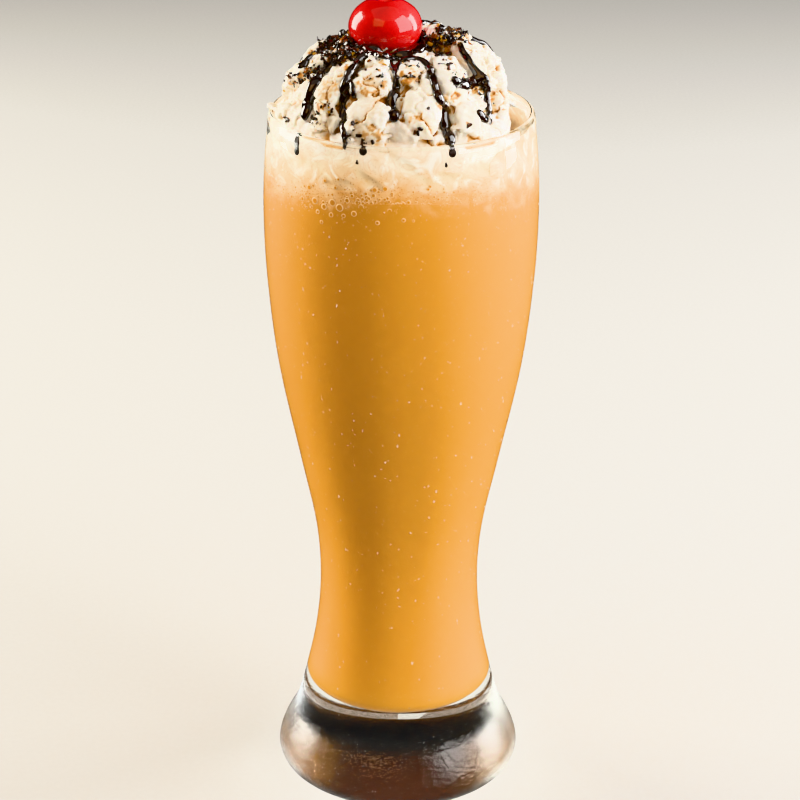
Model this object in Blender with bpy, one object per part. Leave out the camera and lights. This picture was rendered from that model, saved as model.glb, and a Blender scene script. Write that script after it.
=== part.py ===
"""A mocha frappe in a tall footed glass, topped with whipped cream, chocolate and a cherry.

The units are metres and +Z is up. The origin is the middle of the face that the glass rests on.
The front is -Y. An azimuth is measured from the front, and grows towards +X.
"""

import math
import random

import bmesh
import bpy
from mathutils import Matrix, Vector
from mathutils.bvhtree import BVHTree

MM = 0.001
GAP = 0.3
SEGMENTS = 48
SHARP_ANGLE = math.radians(50)

# The glass in millimetres: stations (height, radius) of the outer wall, from rim to foot.
GLASS_HEIGHT = 235.0
OUTER_WALL = (
    (235.0, 42.3),
    (220.0, 43.8),
    (203.0, 44.5),
    (180.0, 43.7),
    (150.0, 40.4),
    (115.0, 33.4),
    (90.0, 28.4),
    (70.0, 27.1),
    (50.0, 28.8),
    (30.0, 33.0),
    (18.8, 36.0),
)
WALL_LEVELS = 12
WALL_THICKNESS = 2.1
WALL_THICKENING = 0.5
LIP_ROUND_STEPS = 4
FOOT_TOP = 18.8
FOOT_RADIUS = 42.0
FOOT_WIDEST_HEIGHT = 5.0
FOOT_FLANK_STEPS = 3
FOOT_EDGE_ROUND = 4.2
FOOT_EDGE_STEPS = 3
REST_RING_INNER_RADIUS = 33.0
PUNT_HEIGHT = 2.5
FLOOR_HEIGHT = 30.5
FLOOR_CORNER_RADIUS = 4.0
FLOOR_CORNER_STEPS = 3

# The layers: mean heights at the wall, and how much higher they stand at the front and back.
DRINK_LEVEL = 214.3
DRINK_WAVE = 3.2
FOAM_LEVEL = 218.8
FOAM_WAVE = 2.2
DRINK_SIDE_LEVELS = 10
SURFACE_RINGS = (0.75, 0.4)

# The cream: a plug inside the glass, a dome over it, and piped lobes on the dome.
PLUG_TOP = 234.2
PLUG_SHOULDER_RADIUS = 33.0
PLUG_SHOULDER_HEIGHT = 238.0
FREE_SIDE_START = 30.0
FREE_SIDE_LIMIT = 34.4
DOME_CENTRE = Vector((-1.0, 0.0, 232.0))
DOME_RADIUS = 35.2
DOME_HEIGHT = 24.0
DOME_SQUARENESS = 0.87
DOME_SEGMENTS = 24
DOME_RINGS = 14
DOME_LOWEST_LATITUDE = -12
LOBE_SEGMENTS = 10
LOBE_RINGS = 7
LOBE_SQUARENESS = 0.75

# Lobes that the front shows: (azimuth, latitude) of the lower and the upper end in degrees,
# half width and relief in millimetres, how much the upper end narrows, and how far it stands out.
FRONT_LOBES = (
    ((-50, 9), (-95, 5), 7.6, 3.6, 0.7, 6.0),
    ((-102, 22), (-72, 54), 6.6, 3.4, 0.2, 0.5),
    ((-64, 18), (-60, 42), 5.6, 3.0, 0.3, 0.0),
    ((-42, 15), (-40, 56), 5.2, 3.6, 0.5, 0.8),
    ((-50, -6), (-32, 22), 5.4, 3.2, 0.3, 0.0),
    ((-22, 30), (-10, 53), 6.6, 4.0, 0.2, 0.0),
    ((-18, 53), (-21, 68), 3.4, 3.6, 0.2, 0.0),
    ((-17, -6), (-13, 32), 8.0, 4.0, 0.1, 0.0),
    ((-6, 20), (13, -3), 4.6, 3.6, 0.5, 0.0),
    ((8, 7), (17, 47), 6.4, 4.2, 0.2, 0.0),
    ((-1, 46), (22, 53), 4.0, 3.6, 0.2, 0.0),
    ((29, 24), (42, 64), 6.4, 4.2, 0.4, 0.0),
    ((35, -8), (38, 30), 7.0, 4.0, 0.2, 0.0),
    ((72, -6), (76, 32), 8.4, 2.8, 0.2, 0.0),
    ((68, 26), (92, 64), 8.6, 4.6, 0.1, 1.0),
    ((96, 54), (112, 80), 7.0, 5.0, 0.2, 1.0),
)
# Lobes by rule on the sides and the back: (latitudes, first azimuth, last azimuth, count).
BACK_TIERS = (
    ((-2, 34), 102, 246, 7),
    ((28, 58), 122, 242, 5),
)
CROWN_TIER = ((56, 78), 142, 308, 5)
BACK_LOBE_SWEEP = 14
BACK_LOBE_WIDTH = 8.2
BACK_LOBE_RELIEF = 3.8
BACK_LOBE_NARROWING = 0.3
BACK_LOBE_PEAK = 0.5
CROWN_LOBE_SIZE = 0.75
LOBE_SEED = 3
RAY_START = 20.0

# The cherry sits in the crown, a little left of the middle.
CHERRY_CENTRE = Vector((-5.3, 0.0, 261.8))
CHERRY_RADIUS = 11.7
CHERRY_HALF_HEIGHT = 9.3
CHERRY_DIMPLE_DEPTH = 2.2
CHERRY_DIMPLE_RADIUS = 2.3
CHERRY_SEAT_GAP = 0.35
CHERRY_SEGMENTS = 20
CHERRY_RINGS = 10

# Runs of chocolate syrup: the places they pass as (azimuth, latitude) in degrees, and the radius
# in millimetres at the start and at the end.
SYRUP_RUNS = (
    (((-42, 54), (-52, 39), (-56, 29), (-52, 18), (-51, 10)), 1.3, 1.7),
    (((-24, 74), (-34, 64), (-30, 52), (-32, 38), (-29, 24), (-26, 5)), 1.6, 1.3),
    (((0, 62), (-4, 50), (-2, 38), (-2, 21)), 1.1, 2.2),
    (((1, 50), (4, 57), (18, 59), (22, 50), (20, 34), (22, 17), (25, 3)), 1.0, 2.1),
    (((80, 62), (62, 50), (57, 38), (53, 22), (47, 10)), 1.2, 2.1),
    (((37, 40), (47, 37), (58, 35)), 1.8, 2.3),
)
SYRUP_STEP = 2.6
SYRUP_LIFT = 0.7
SYRUP_END_NARROWING = 0.6
SYRUP_POOL_RADIUS = 14.5
SYRUP_POOL_THICKNESS = 2.2
SYRUP_POOL_HEIGHT = 254.6
SYRUP_POOL_SEGMENTS = 16
SYRUP_POOL_RINGS = 6

# Chocolate crumbs, spread by a seeded rule, more of them near the cherry.
CRUMB_COUNT = 30
CRUMB_SEED = 7
CRUMB_HALF_SIZES = (1.9, 1.2, 0.8)
CRUMB_LIFT = 0.5
CRUMB_LOWEST_LATITUDE = 16
CRUMB_HIGHEST_LATITUDE = 76
CRUMB_CROWDING = 1.7
CRUMB_SIZE_RANGE = (0.75, 1.3)
GOLDEN_ANGLE = 137.5


def catmull_rom(stations, height):
    """The radius at a height, on a smooth curve through stations (height, radius), highest first."""
    rising = sorted(stations)
    heights = [station[0] for station in rising]
    index = sum(1 for value in heights[1:-1] if value <= height)
    low, high = rising[index], rising[index + 1]
    before = rising[max(index - 1, 0)]
    after = rising[min(index + 2, len(rising) - 1)]
    span = high[0] - low[0]
    slope_low = (high[1] - before[1]) / (high[0] - before[0])
    slope_high = (after[1] - low[1]) / (after[0] - low[0])
    t = (height - low[0]) / span
    return (
        (2 * t**3 - 3 * t**2 + 1) * low[1]
        + (t**3 - 2 * t**2 + t) * span * slope_low
        + (3 * t**2 - 2 * t**3) * high[1]
        + (t**3 - t**2) * span * slope_high
    )


def outer_radius(height):
    return catmull_rom(OUTER_WALL, height)


def inner_radius(height):
    depth = (GLASS_HEIGHT - height) / GLASS_HEIGHT
    return outer_radius(height) - WALL_THICKNESS - WALL_THICKENING * depth


def evenly(first, last, steps):
    return [first + (last - first) * index / steps for index in range(steps + 1)]


def floor_corner(margin):
    """The inner floor and its rounded corner, from the axis outwards, drawn in by a margin."""
    wall = inner_radius(FLOOR_HEIGHT + FLOOR_CORNER_RADIUS) - margin
    floor = FLOOR_HEIGHT + margin
    points = [(0.0, floor), (0.5 * wall, floor)]
    for angle in evenly(0.0, math.pi / 2, FLOOR_CORNER_STEPS):
        radius = wall - FLOOR_CORNER_RADIUS * (1 - math.sin(angle))
        points.append((radius, floor + FLOOR_CORNER_RADIUS * (1 - math.cos(angle))))
    return points


def glass_profile():
    """The whole outline of the glass, from the middle of its underside to the inner floor."""
    points = [(0.0, PUNT_HEIGHT), (0.6 * REST_RING_INNER_RADIUS, 0.7 * PUNT_HEIGHT)]
    points.append((REST_RING_INNER_RADIUS, 0.0))
    rest_edge = FOOT_RADIUS - FOOT_EDGE_ROUND
    for angle in evenly(0.0, math.pi / 2, FOOT_EDGE_STEPS):
        radius = rest_edge + FOOT_EDGE_ROUND * math.sin(angle)
        points.append((radius, FOOT_WIDEST_HEIGHT * (1 - math.cos(angle))))
    flank_top = outer_radius(FOOT_TOP)
    for share in evenly(0.0, 1.0, FOOT_FLANK_STEPS)[1:]:
        radius = FOOT_RADIUS + (flank_top - FOOT_RADIUS) * share**1.5
        points.append((radius, FOOT_WIDEST_HEIGHT + (FOOT_TOP - FOOT_WIDEST_HEIGHT) * share))
    lip = WALL_THICKNESS / 2
    for height in evenly(FOOT_TOP, GLASS_HEIGHT - lip, WALL_LEVELS)[1:]:
        points.append((outer_radius(height), height))
    lip_middle = outer_radius(GLASS_HEIGHT) - lip
    for angle in evenly(0.0, math.pi, LIP_ROUND_STEPS)[1:-1]:
        points.append((lip_middle + lip * math.cos(angle), GLASS_HEIGHT - lip + lip * math.sin(angle)))
    wall_foot = FLOOR_HEIGHT + FLOOR_CORNER_RADIUS
    for height in evenly(GLASS_HEIGHT - lip, wall_foot, WALL_LEVELS)[:-1]:
        points.append((inner_radius(height), height))
    return points + floor_corner(0.0)[::-1]


def principled(name, colour, roughness, **more):
    material = bpy.data.materials.new(name)
    material.use_nodes = True
    shader = material.node_tree.nodes["Principled BSDF"]
    shader.inputs["Base Color"].default_value = (*colour, 1.0)
    shader.inputs["Roughness"].default_value = roughness
    shader.inputs["Metallic"].default_value = 0.0
    for label, value in more.items():
        shader.inputs[label].default_value = value
    return material


def new_object(name, mesh_data, material):
    """A scene object from a bmesh in millimetres, which this turns into metres."""
    bmesh.ops.scale(mesh_data, vec=(MM, MM, MM), verts=mesh_data.verts)
    bmesh.ops.recalc_face_normals(mesh_data, faces=mesh_data.faces)
    mesh = bpy.data.meshes.new(name)
    mesh_data.to_mesh(mesh)
    mesh_data.free()
    mesh.shade_smooth()
    mesh.set_sharp_from_angle(angle=SHARP_ANGLE)
    mesh.materials.append(material)
    shape = bpy.data.objects.new(name, mesh)
    bpy.context.scene.collection.objects.link(shape)
    return shape


def turned(profile, ring=False):
    """A body of revolution from an outline on the axis at both ends, or from a ring's section."""
    body = bmesh.new()
    points = [body.verts.new((radius, 0.0, height)) for radius, height in profile]
    edges = [body.edges.new(pair) for pair in zip(points, points[1:])]
    if ring:
        edges.append(body.edges.new((points[-1], points[0])))
    bmesh.ops.spin(
        body,
        geom=points + edges,
        axis=(0, 0, 1),
        cent=(0, 0, 0),
        steps=SEGMENTS,
        angle=2 * math.pi,
        use_merge=True,
    )
    bmesh.ops.remove_doubles(body, verts=body.verts, dist=0.01)
    return body


def wave(level, height, x, y):
    """The height of a wavy surface, highest at the front and back wall and level at the middle."""
    reach = math.hypot(x, y) / inner_radius(level)
    return level + height * reach**2 * math.cos(2 * math.atan2(x, y))


def surface_rings(radius):
    return [radius * share for share in SURFACE_RINGS]


def make_glass(material):
    return new_object("glass", turned(glass_profile()), material)


def make_drink(material):
    """The drink, up to its wavy top, clear of the glass all round."""
    wall_foot = FLOOR_HEIGHT + FLOOR_CORNER_RADIUS + GAP
    profile = floor_corner(GAP)
    for height in evenly(wall_foot, DRINK_LEVEL, DRINK_SIDE_LEVELS)[1:]:
        profile.append((inner_radius(height) - GAP, height))
    profile += [(radius, DRINK_LEVEL) for radius in surface_rings(profile[-1][0])]
    profile.append((0.0, DRINK_LEVEL))
    body = turned(profile)
    for vert in body.verts:
        if vert.co.z > DRINK_LEVEL - 0.01:
            vert.co.z = wave(DRINK_LEVEL, DRINK_WAVE, vert.co.x, vert.co.y)
    return new_object("drink", body, material)


def make_foam(material):
    """The bubbly layer between the drink and the cream, wavy below and above."""
    radius = inner_radius(DRINK_LEVEL) - GAP
    low = [(0.0, DRINK_LEVEL)] + [(ring, DRINK_LEVEL) for ring in surface_rings(radius)[::-1]]
    high = [(ring, FOAM_LEVEL) for ring in surface_rings(radius)] + [(0.0, FOAM_LEVEL)]
    body = turned(low + [(radius, DRINK_LEVEL), (radius, FOAM_LEVEL)] + high)
    for vert in body.verts:
        if vert.co.z > FOAM_LEVEL - 0.01:
            vert.co.z = wave(FOAM_LEVEL, FOAM_WAVE, vert.co.x, vert.co.y)
        else:
            vert.co.z = wave(DRINK_LEVEL, DRINK_WAVE, vert.co.x, vert.co.y) + GAP
        fit_wall(vert)
    return new_object("foam", body, material)


def fit_wall(vert):
    """Draws a point in where it would be nearer to the glass than the gap."""
    radius = math.hypot(vert.co.x, vert.co.y)
    limit = inner_radius(min(vert.co.z, GLASS_HEIGHT)) - GAP
    if radius > limit:
        vert.co.x *= limit / radius
        vert.co.y *= limit / radius


def on_dome(azimuth, latitude):
    """A point of the dome, with the direction that points straight out of it there."""
    turn, lift = math.radians(azimuth), math.radians(min(latitude, 89.5))
    level = max(math.cos(lift), 0.0)
    rise = math.sin(abs(lift)) * (1 if lift >= 0 else -1)
    out = DOME_RADIUS * level**DOME_SQUARENESS
    up = DOME_HEIGHT * math.copysign(abs(rise) ** DOME_SQUARENESS, rise)
    point = DOME_CENTRE + Vector((out * math.sin(turn), -out * math.cos(turn), up))
    side = level ** (2 - DOME_SQUARENESS) / DOME_RADIUS
    top = math.copysign(abs(rise) ** (2 - DOME_SQUARENESS), rise) / DOME_HEIGHT
    normal = Vector((side * math.sin(turn), -side * math.cos(turn), top)).normalized()
    return point, normal


def keep_side_free(body):
    """Draws the cream in on the right, where the glass has a free gap beside it."""
    reach = FREE_SIDE_LIMIT - FREE_SIDE_START
    for vert in body.verts:
        excess = vert.co.x - FREE_SIDE_START
        if excess > 0:
            vert.co.x = FREE_SIDE_START + reach * (1 - math.exp(-excess / reach))


def add_piece(pieces, name, body, material):
    piece = new_object(name, body, material)
    bpy.context.scene.collection.objects.unlink(piece)
    pieces.objects.link(piece)
    return piece


def lobe(start, end, half_width, relief, narrowing, peak):
    """A piped lobe: a rounded pillow that follows the dome from its start to its end."""
    body = bmesh.new()
    bmesh.ops.create_uvsphere(body, u_segments=LOBE_SEGMENTS, v_segments=LOBE_RINGS, radius=1.0)
    along = on_dome(*end)[0] - on_dome(*start)[0]
    for vert in body.verts:
        across, out = (math.copysign(abs(value) ** LOBE_SQUARENESS, value) for value in vert.co.xy)
        length = vert.co.z
        share = (length + 1) / 2
        place = [first + (last - first) * share for first, last in zip(start, end)]
        point, normal = on_dome(*place)
        side = along.cross(normal).normalized()
        width = half_width * across * (1 - narrowing * share)
        sag = width**2 / (2 * DOME_RADIUS)
        vert.co = point + side * width + normal * (relief * out - sag + peak * share**2)
    keep_side_free(body)
    return body


def back_lobes():
    """Lobes by rule where the front doesn't show them, uneven by a seeded draw."""
    draw = random.Random(LOBE_SEED)
    lobes = []
    for latitudes, first, last, count in (*BACK_TIERS, CROWN_TIER):
        for azimuth in evenly(first, last, count - 1):
            shift = draw.uniform(-4, 4)
            size = draw.uniform(0.9, 1.15)
            low, high = latitudes
            crown = CROWN_LOBE_SIZE if latitudes == CROWN_TIER[0] else 1.0
            start = (azimuth + shift, low + draw.uniform(-2, 2))
            end = (azimuth + shift + BACK_LOBE_SWEEP, high + draw.uniform(-3, 3))
            width = BACK_LOBE_WIDTH * size * crown
            relief = BACK_LOBE_RELIEF * size * crown
            lobes.append((start, end, width, relief, BACK_LOBE_NARROWING, BACK_LOBE_PEAK))
    return lobes


def cream_plug():
    """The cream inside the glass, against the wall and on the foam."""
    radius = inner_radius(FOAM_LEVEL) - GAP
    low = [(0.0, FOAM_LEVEL)] + [(ring, FOAM_LEVEL) for ring in surface_rings(radius)[::-1]]
    sides = [(inner_radius(height) - GAP, height) for height in evenly(FOAM_LEVEL, PLUG_TOP, 3)]
    cap = [(PLUG_SHOULDER_RADIUS, PLUG_SHOULDER_HEIGHT), (0.0, PLUG_SHOULDER_HEIGHT)]
    body = turned(low + sides + cap)
    keep_side_free(body)
    for vert in body.verts:
        if vert.co.z < FOAM_LEVEL + 0.01:
            vert.co.z = wave(FOAM_LEVEL, FOAM_WAVE, vert.co.x, vert.co.y) + GAP
        fit_wall(vert)
    return body


def dome_core():
    """The smooth dome under the lobes, whose lower end is inside the plug."""
    body = bmesh.new()
    bmesh.ops.create_uvsphere(body, u_segments=DOME_SEGMENTS, v_segments=DOME_RINGS, radius=1.0)
    for vert in body.verts:
        azimuth = math.degrees(math.atan2(vert.co.x, -vert.co.y))
        latitude = math.degrees(math.asin(max(-1.0, min(1.0, vert.co.z))))
        vert.co = on_dome(azimuth, max(latitude, DOME_LOWEST_LATITUDE))[0]
    keep_side_free(body)
    bmesh.ops.remove_doubles(body, verts=body.verts, dist=0.01)
    return body


def smooth_route(places):
    """Places on a smooth curve through the given ones, a syrup step apart or nearer."""
    points = []
    for index in range(len(places) - 1):
        before = Vector(places[max(index - 1, 0)])
        low, high = Vector(places[index]), Vector(places[index + 1])
        after = Vector(places[min(index + 2, len(places) - 1)])
        length = (on_dome(*high)[0] - on_dome(*low)[0]).length
        steps = max(1, round(length / SYRUP_STEP))
        for t in evenly(0.0, 1.0, steps)[:-1]:
            bend = (high - before) * (t**3 - 2 * t**2 + t) / 2 + (after - low) * (t**3 - t**2) / 2
            points.append(low * (2 * t**3 - 3 * t**2 + 1) + high * (3 * t**2 - 2 * t**3) + bend)
    return points + [Vector(places[-1])]


def surface_at(surface, azimuth, latitude):
    """The outermost point of the cream over a place on the dome, with its outward direction."""
    point, normal = on_dome(azimuth, latitude)
    far = point + normal * RAY_START
    hit = surface.ray_cast(far * MM, -normal, 2 * RAY_START * MM)[0]
    return (hit / MM if hit else point), normal


def solid_of_curve(curve):
    """The closed mesh of a bevelled curve, in millimetres."""
    holder = bpy.data.objects.new("holder", curve)
    body = bmesh.new()
    body.from_mesh(bpy.data.meshes.new_from_object(holder))
    bpy.data.objects.remove(holder)
    bmesh.ops.remove_doubles(body, verts=body.verts, dist=1e-6)
    bmesh.ops.scale(body, vec=(1 / MM, 1 / MM, 1 / MM), verts=body.verts)
    return body


def syrup_run(surface, places, first_radius, last_radius):
    """A run of thick syrup on the cream, as a closed tube that is narrower at its ends."""
    route = smooth_route(places)
    curve = bpy.data.curves.new("syrup_run", "CURVE")
    curve.dimensions = "3D"
    curve.bevel_depth = 1.0 * MM
    curve.bevel_resolution = 1
    curve.use_fill_caps = True
    spline = curve.splines.new("POLY")
    spline.points.add(len(route) - 1)
    for index, place in enumerate(route):
        point, normal = surface_at(surface, *place)
        spline.points[index].co = (*((point + normal * SYRUP_LIFT) * MM), 1.0)
        share = index / (len(route) - 1)
        radius = first_radius + (last_radius - first_radius) * share
        at_end = index in (0, len(route) - 1)
        spline.points[index].radius = radius * (SYRUP_END_NARROWING if at_end else 1.0)
    return solid_of_curve(curve)


def syrup_pool():
    """The syrup round the foot of the cherry."""
    body = bmesh.new()
    bmesh.ops.create_uvsphere(
        body, u_segments=SYRUP_POOL_SEGMENTS, v_segments=SYRUP_POOL_RINGS, radius=1.0
    )
    for vert in body.verts:
        middle = Vector((CHERRY_CENTRE.x, CHERRY_CENTRE.y, SYRUP_POOL_HEIGHT))
        flat = Vector((vert.co.x * SYRUP_POOL_RADIUS, vert.co.y * SYRUP_POOL_RADIUS, 0.0))
        vert.co = middle + flat + Vector((0.0, 0.0, vert.co.z * SYRUP_POOL_THICKNESS))
    return body


def crumb_places(draw):
    """Places for the crumbs all round the dome, closer together near the cherry."""
    for index in range(CRUMB_COUNT):
        share = (index + 0.5) / CRUMB_COUNT
        fall = (CRUMB_HIGHEST_LATITUDE - CRUMB_LOWEST_LATITUDE) * share**CRUMB_CROWDING
        azimuth = (GOLDEN_ANGLE * index + draw.uniform(-15, 15)) % 360
        yield azimuth, CRUMB_HIGHEST_LATITUDE - fall


def crumb(draw, surface, azimuth, latitude):
    """A flat flake of chocolate, half sunk in the cream and turned at random."""
    body = bmesh.new()
    bmesh.ops.create_icosphere(body, subdivisions=1, radius=1.0)
    size = draw.uniform(*CRUMB_SIZE_RANGE)
    bmesh.ops.scale(body, vec=Vector(CRUMB_HALF_SIZES) * size, verts=body.verts)
    turn = Matrix.Rotation(draw.uniform(0, math.pi), 3, "Z")
    bmesh.ops.rotate(body, cent=(0, 0, 0), matrix=turn, verts=body.verts)
    point, normal = surface_at(surface, azimuth, latitude)
    tip = normal.to_track_quat("Z", "Y").to_matrix()
    bmesh.ops.rotate(body, cent=(0, 0, 0), matrix=tip, verts=body.verts)
    bmesh.ops.translate(body, vec=point + normal * CRUMB_LIFT, verts=body.verts)
    return body


def cherry_body(margin):
    """The cherry: a slightly flattened ball with the hollow of its stem, grown by a margin."""
    body = bmesh.new()
    bmesh.ops.create_uvsphere(body, u_segments=CHERRY_SEGMENTS, v_segments=CHERRY_RINGS, radius=1.0)
    for vert in body.verts:
        reach = math.hypot(vert.co.x, vert.co.y) * CHERRY_RADIUS
        dimple = CHERRY_DIMPLE_DEPTH * math.exp(-((reach / CHERRY_DIMPLE_RADIUS) ** 2))
        top = vert.co.z > 0
        vert.co.x *= CHERRY_RADIUS + margin
        vert.co.y *= CHERRY_RADIUS + margin
        vert.co.z = vert.co.z * (CHERRY_HALF_HEIGHT + margin) - (dimple if top else 0.0)
        vert.co += CHERRY_CENTRE
    return body


def wall_margin():
    """The space that the glass takes up, with the gap, down to below the cream."""
    low, high = FOAM_LEVEL - 10, GLASS_HEIGHT - WALL_THICKNESS / 2
    section = [(inner_radius(height) - GAP, height) for height in evenly(low, high, 5)]
    top = GLASS_HEIGHT + GAP
    beyond = outer_radius(GLASS_HEIGHT) + 10
    section += [(section[-1][0] + 0.6, top), (beyond, top), (beyond, low)]
    return turned(section, ring=True)


def boolean(shape, operation, other, solver):
    """Applies one Boolean of a whole collection or one object, and keeps the result."""
    modifier = shape.modifiers.new("join", "BOOLEAN")
    modifier.operation = operation
    modifier.solver = solver
    modifier.material_mode = "TRANSFER"
    if isinstance(other, bpy.types.Collection):
        modifier.operand_type = "COLLECTION"
        modifier.collection = other
    else:
        modifier.object = other
    graph = bpy.context.evaluated_depsgraph_get()
    result = bpy.data.meshes.new_from_object(shape.evaluated_get(graph))
    shape.modifiers.clear()
    shape.data = result


def keep_largest_shell(shape):
    """Fills the hollows that a union has sealed, and drops loose scraps."""
    body = bmesh.new()
    body.from_mesh(shape.data)
    left = set(body.verts)
    shells = []
    while left:
        shell = {left.pop()}
        front = list(shell)
        while front:
            near = {edge.other_vert(vert) for vert in front for edge in vert.link_edges} & left
            left -= near
            shell |= near
            front = list(near)
        shells.append(shell)
    largest = max(shells, key=len)
    bmesh.ops.delete(body, geom=[vert for vert in body.verts if vert not in largest])
    body.to_mesh(shape.data)
    body.free()


def clear_collection(pieces):
    for piece in list(pieces.objects):
        bpy.data.objects.remove(piece)


def make_cream(material, syrup):
    """The cream with its lobes, and the syrup and crumbs fused to it, round the cherry's seat."""
    pieces = bpy.data.collections.new("cream pieces")
    bpy.context.scene.collection.children.link(pieces)
    cream = new_object("whipped_cream", cream_plug(), material)
    add_piece(pieces, "dome", dome_core(), material)
    for index, values in enumerate((*FRONT_LOBES, *back_lobes())):
        add_piece(pieces, f"lobe_{index}", lobe(*values), material)
    boolean(cream, "UNION", pieces, "MANIFOLD")
    clear_collection(pieces)

    surface = BVHTree.FromObject(cream, bpy.context.evaluated_depsgraph_get())
    draw = random.Random(CRUMB_SEED)
    for index, (places, first, last) in enumerate(SYRUP_RUNS):
        add_piece(pieces, f"run_{index}", syrup_run(surface, places, first, last), syrup)
    for index, place in enumerate(crumb_places(draw)):
        add_piece(pieces, f"crumb_{index}", crumb(draw, surface, *place), syrup)
    add_piece(pieces, "pool", syrup_pool(), syrup)
    boolean(cream, "UNION", pieces, "MANIFOLD")
    clear_collection(pieces)

    add_piece(pieces, "cherry_seat", cherry_body(CHERRY_SEAT_GAP), material)
    add_piece(pieces, "wall_margin", wall_margin(), material)
    boolean(cream, "DIFFERENCE", pieces, "MANIFOLD")
    keep_largest_shell(cream)
    clear_collection(pieces)
    bpy.data.collections.remove(pieces)
    return cream


def main():
    for shape in list(bpy.data.objects):
        bpy.data.objects.remove(shape)
    clear = principled(
        "clear glass", (0.95, 0.97, 0.97), 0.02, **{"Transmission Weight": 1.0, "IOR": 1.5}
    )
    coffee = principled("mocha drink", (0.60, 0.30, 0.08), 0.35)
    bubbles = principled("foam", (0.85, 0.62, 0.36), 0.5)
    cream = principled("whipped cream", (0.90, 0.80, 0.66), 0.5)
    syrup = principled("chocolate syrup", (0.02, 0.008, 0.004), 0.15)
    red = principled("cherry", (0.60, 0.01, 0.01), 0.12)
    make_glass(clear)
    make_drink(coffee)
    make_foam(bubbles)
    make_cream(cream, syrup)
    new_object("cherry", cherry_body(0.0), red)


main()
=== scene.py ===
"""The looks of a mocha frappe in a tall footed glass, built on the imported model.

The frame is in metres, with +Z up, the glass on z = 0 and the shown front towards -Y. Sizes below
are in millimetres unless a name says otherwise. An azimuth is measured from the front towards +X,
and a latitude from the foot of the cream's dome upwards, both in degrees.
"""

import logging
import math
import random
from dataclasses import dataclass, field
from enum import Enum
from typing import Any, Iterable, Sequence

import bmesh
import bpy
import numpy as np
from mathutils import Matrix, Vector, noise
from mathutils.bvhtree import BVHTree


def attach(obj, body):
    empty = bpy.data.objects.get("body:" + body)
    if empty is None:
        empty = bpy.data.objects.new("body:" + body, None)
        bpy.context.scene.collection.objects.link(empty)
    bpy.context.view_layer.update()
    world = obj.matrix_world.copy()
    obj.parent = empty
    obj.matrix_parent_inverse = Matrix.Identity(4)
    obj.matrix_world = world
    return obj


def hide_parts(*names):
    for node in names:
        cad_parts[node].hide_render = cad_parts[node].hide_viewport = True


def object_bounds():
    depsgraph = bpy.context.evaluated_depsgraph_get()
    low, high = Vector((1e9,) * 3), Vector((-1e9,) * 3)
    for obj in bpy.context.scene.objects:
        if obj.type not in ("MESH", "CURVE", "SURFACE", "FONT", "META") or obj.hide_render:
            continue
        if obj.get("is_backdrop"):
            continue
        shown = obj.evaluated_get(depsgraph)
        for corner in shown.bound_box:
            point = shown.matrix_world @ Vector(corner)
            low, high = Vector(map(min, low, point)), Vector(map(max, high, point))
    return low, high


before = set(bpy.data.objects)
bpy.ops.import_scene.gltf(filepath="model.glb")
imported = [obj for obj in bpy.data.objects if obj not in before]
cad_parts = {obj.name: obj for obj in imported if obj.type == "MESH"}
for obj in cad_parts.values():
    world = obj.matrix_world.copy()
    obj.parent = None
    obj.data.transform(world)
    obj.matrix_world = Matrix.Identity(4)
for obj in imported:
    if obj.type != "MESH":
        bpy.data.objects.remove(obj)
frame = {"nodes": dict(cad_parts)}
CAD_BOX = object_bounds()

MM = 0.001
ROOT = "root"
LOG = logging.getLogger("frappe")
CREASE_ANGLE = math.radians(70)
NO_LIMIT = 1e6
LAMPS_AIM = 0.16

Place = tuple[float, float]
Outline = list[tuple[float, float]]
Spot = tuple[Vector, Vector]
Tree = bpy.types.NodeTree
Socket = bpy.types.NodeSocket

# Settings that many nodes share: a range that falls, a product, and a mix of two colours with the
# numbers of its inputs and its output.
FALLING = {"To Min": 1.0, "To Max": 0.0}
TIMES = {"operation": "MULTIPLY", "use_clamp": True}
BLEND = {"data_type": "RGBA"}
SHARE, UNDER, OVER, MIXED = 0, 6, 7, 2


def linear(colour: str) -> tuple[float, float, float, float]:
    """Turns an sRGB hex colour into linear values.

    Args:
        colour: Six hex digits after a hash sign.

    Returns:
        Red, green, blue and an alpha of 1.
    """
    parts = [int(colour[index : index + 2], 16) / 255 for index in (1, 3, 5)]
    low = [part / 12.92 if part <= 0.04045 else ((part + 0.055) / 1.055) ** 2.4 for part in parts]
    return (low[0], low[1], low[2], 1.0)


def per_metre(size: float) -> float:
    """The pattern scale that repeats about once in a size in millimetres."""
    return 1.0 / (size * MM)


def add_node(tree: Tree, kind: str, values: dict[Any, Any], output: int | str = 0) -> Socket:
    """Adds a node with its settings and links.

    Args:
        tree: The node tree of a material.
        kind: The node's type name, without the ShaderNode that it starts with.
        values: What each input takes, by its name or number, and each property, by its name: a
            value, an sRGB hex colour or the output that feeds it. The key stops holds a ramp's
            places from 0 to 1 with their colours.
        output: The name or number of the output that is wanted.

    Returns:
        That output.
    """
    node = tree.nodes.new("ShaderNode" + kind)
    for name, value in values.items():
        if name == "stops":
            elements = node.color_ramp.elements
            while len(elements) < len(value):
                elements.new(0.5)
            for element, (place, colour) in zip(elements, value):
                element.position = place
                element.color = linear(colour)
        elif isinstance(value, Socket):
            tree.links.new(value, node.inputs[name])
        elif isinstance(name, int) or name in node.inputs:
            even = linear(value) if isinstance(value, str) else value
            node.inputs[name].default_value = even
        else:
            setattr(node, name, value)
    return node.outputs[output]


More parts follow.
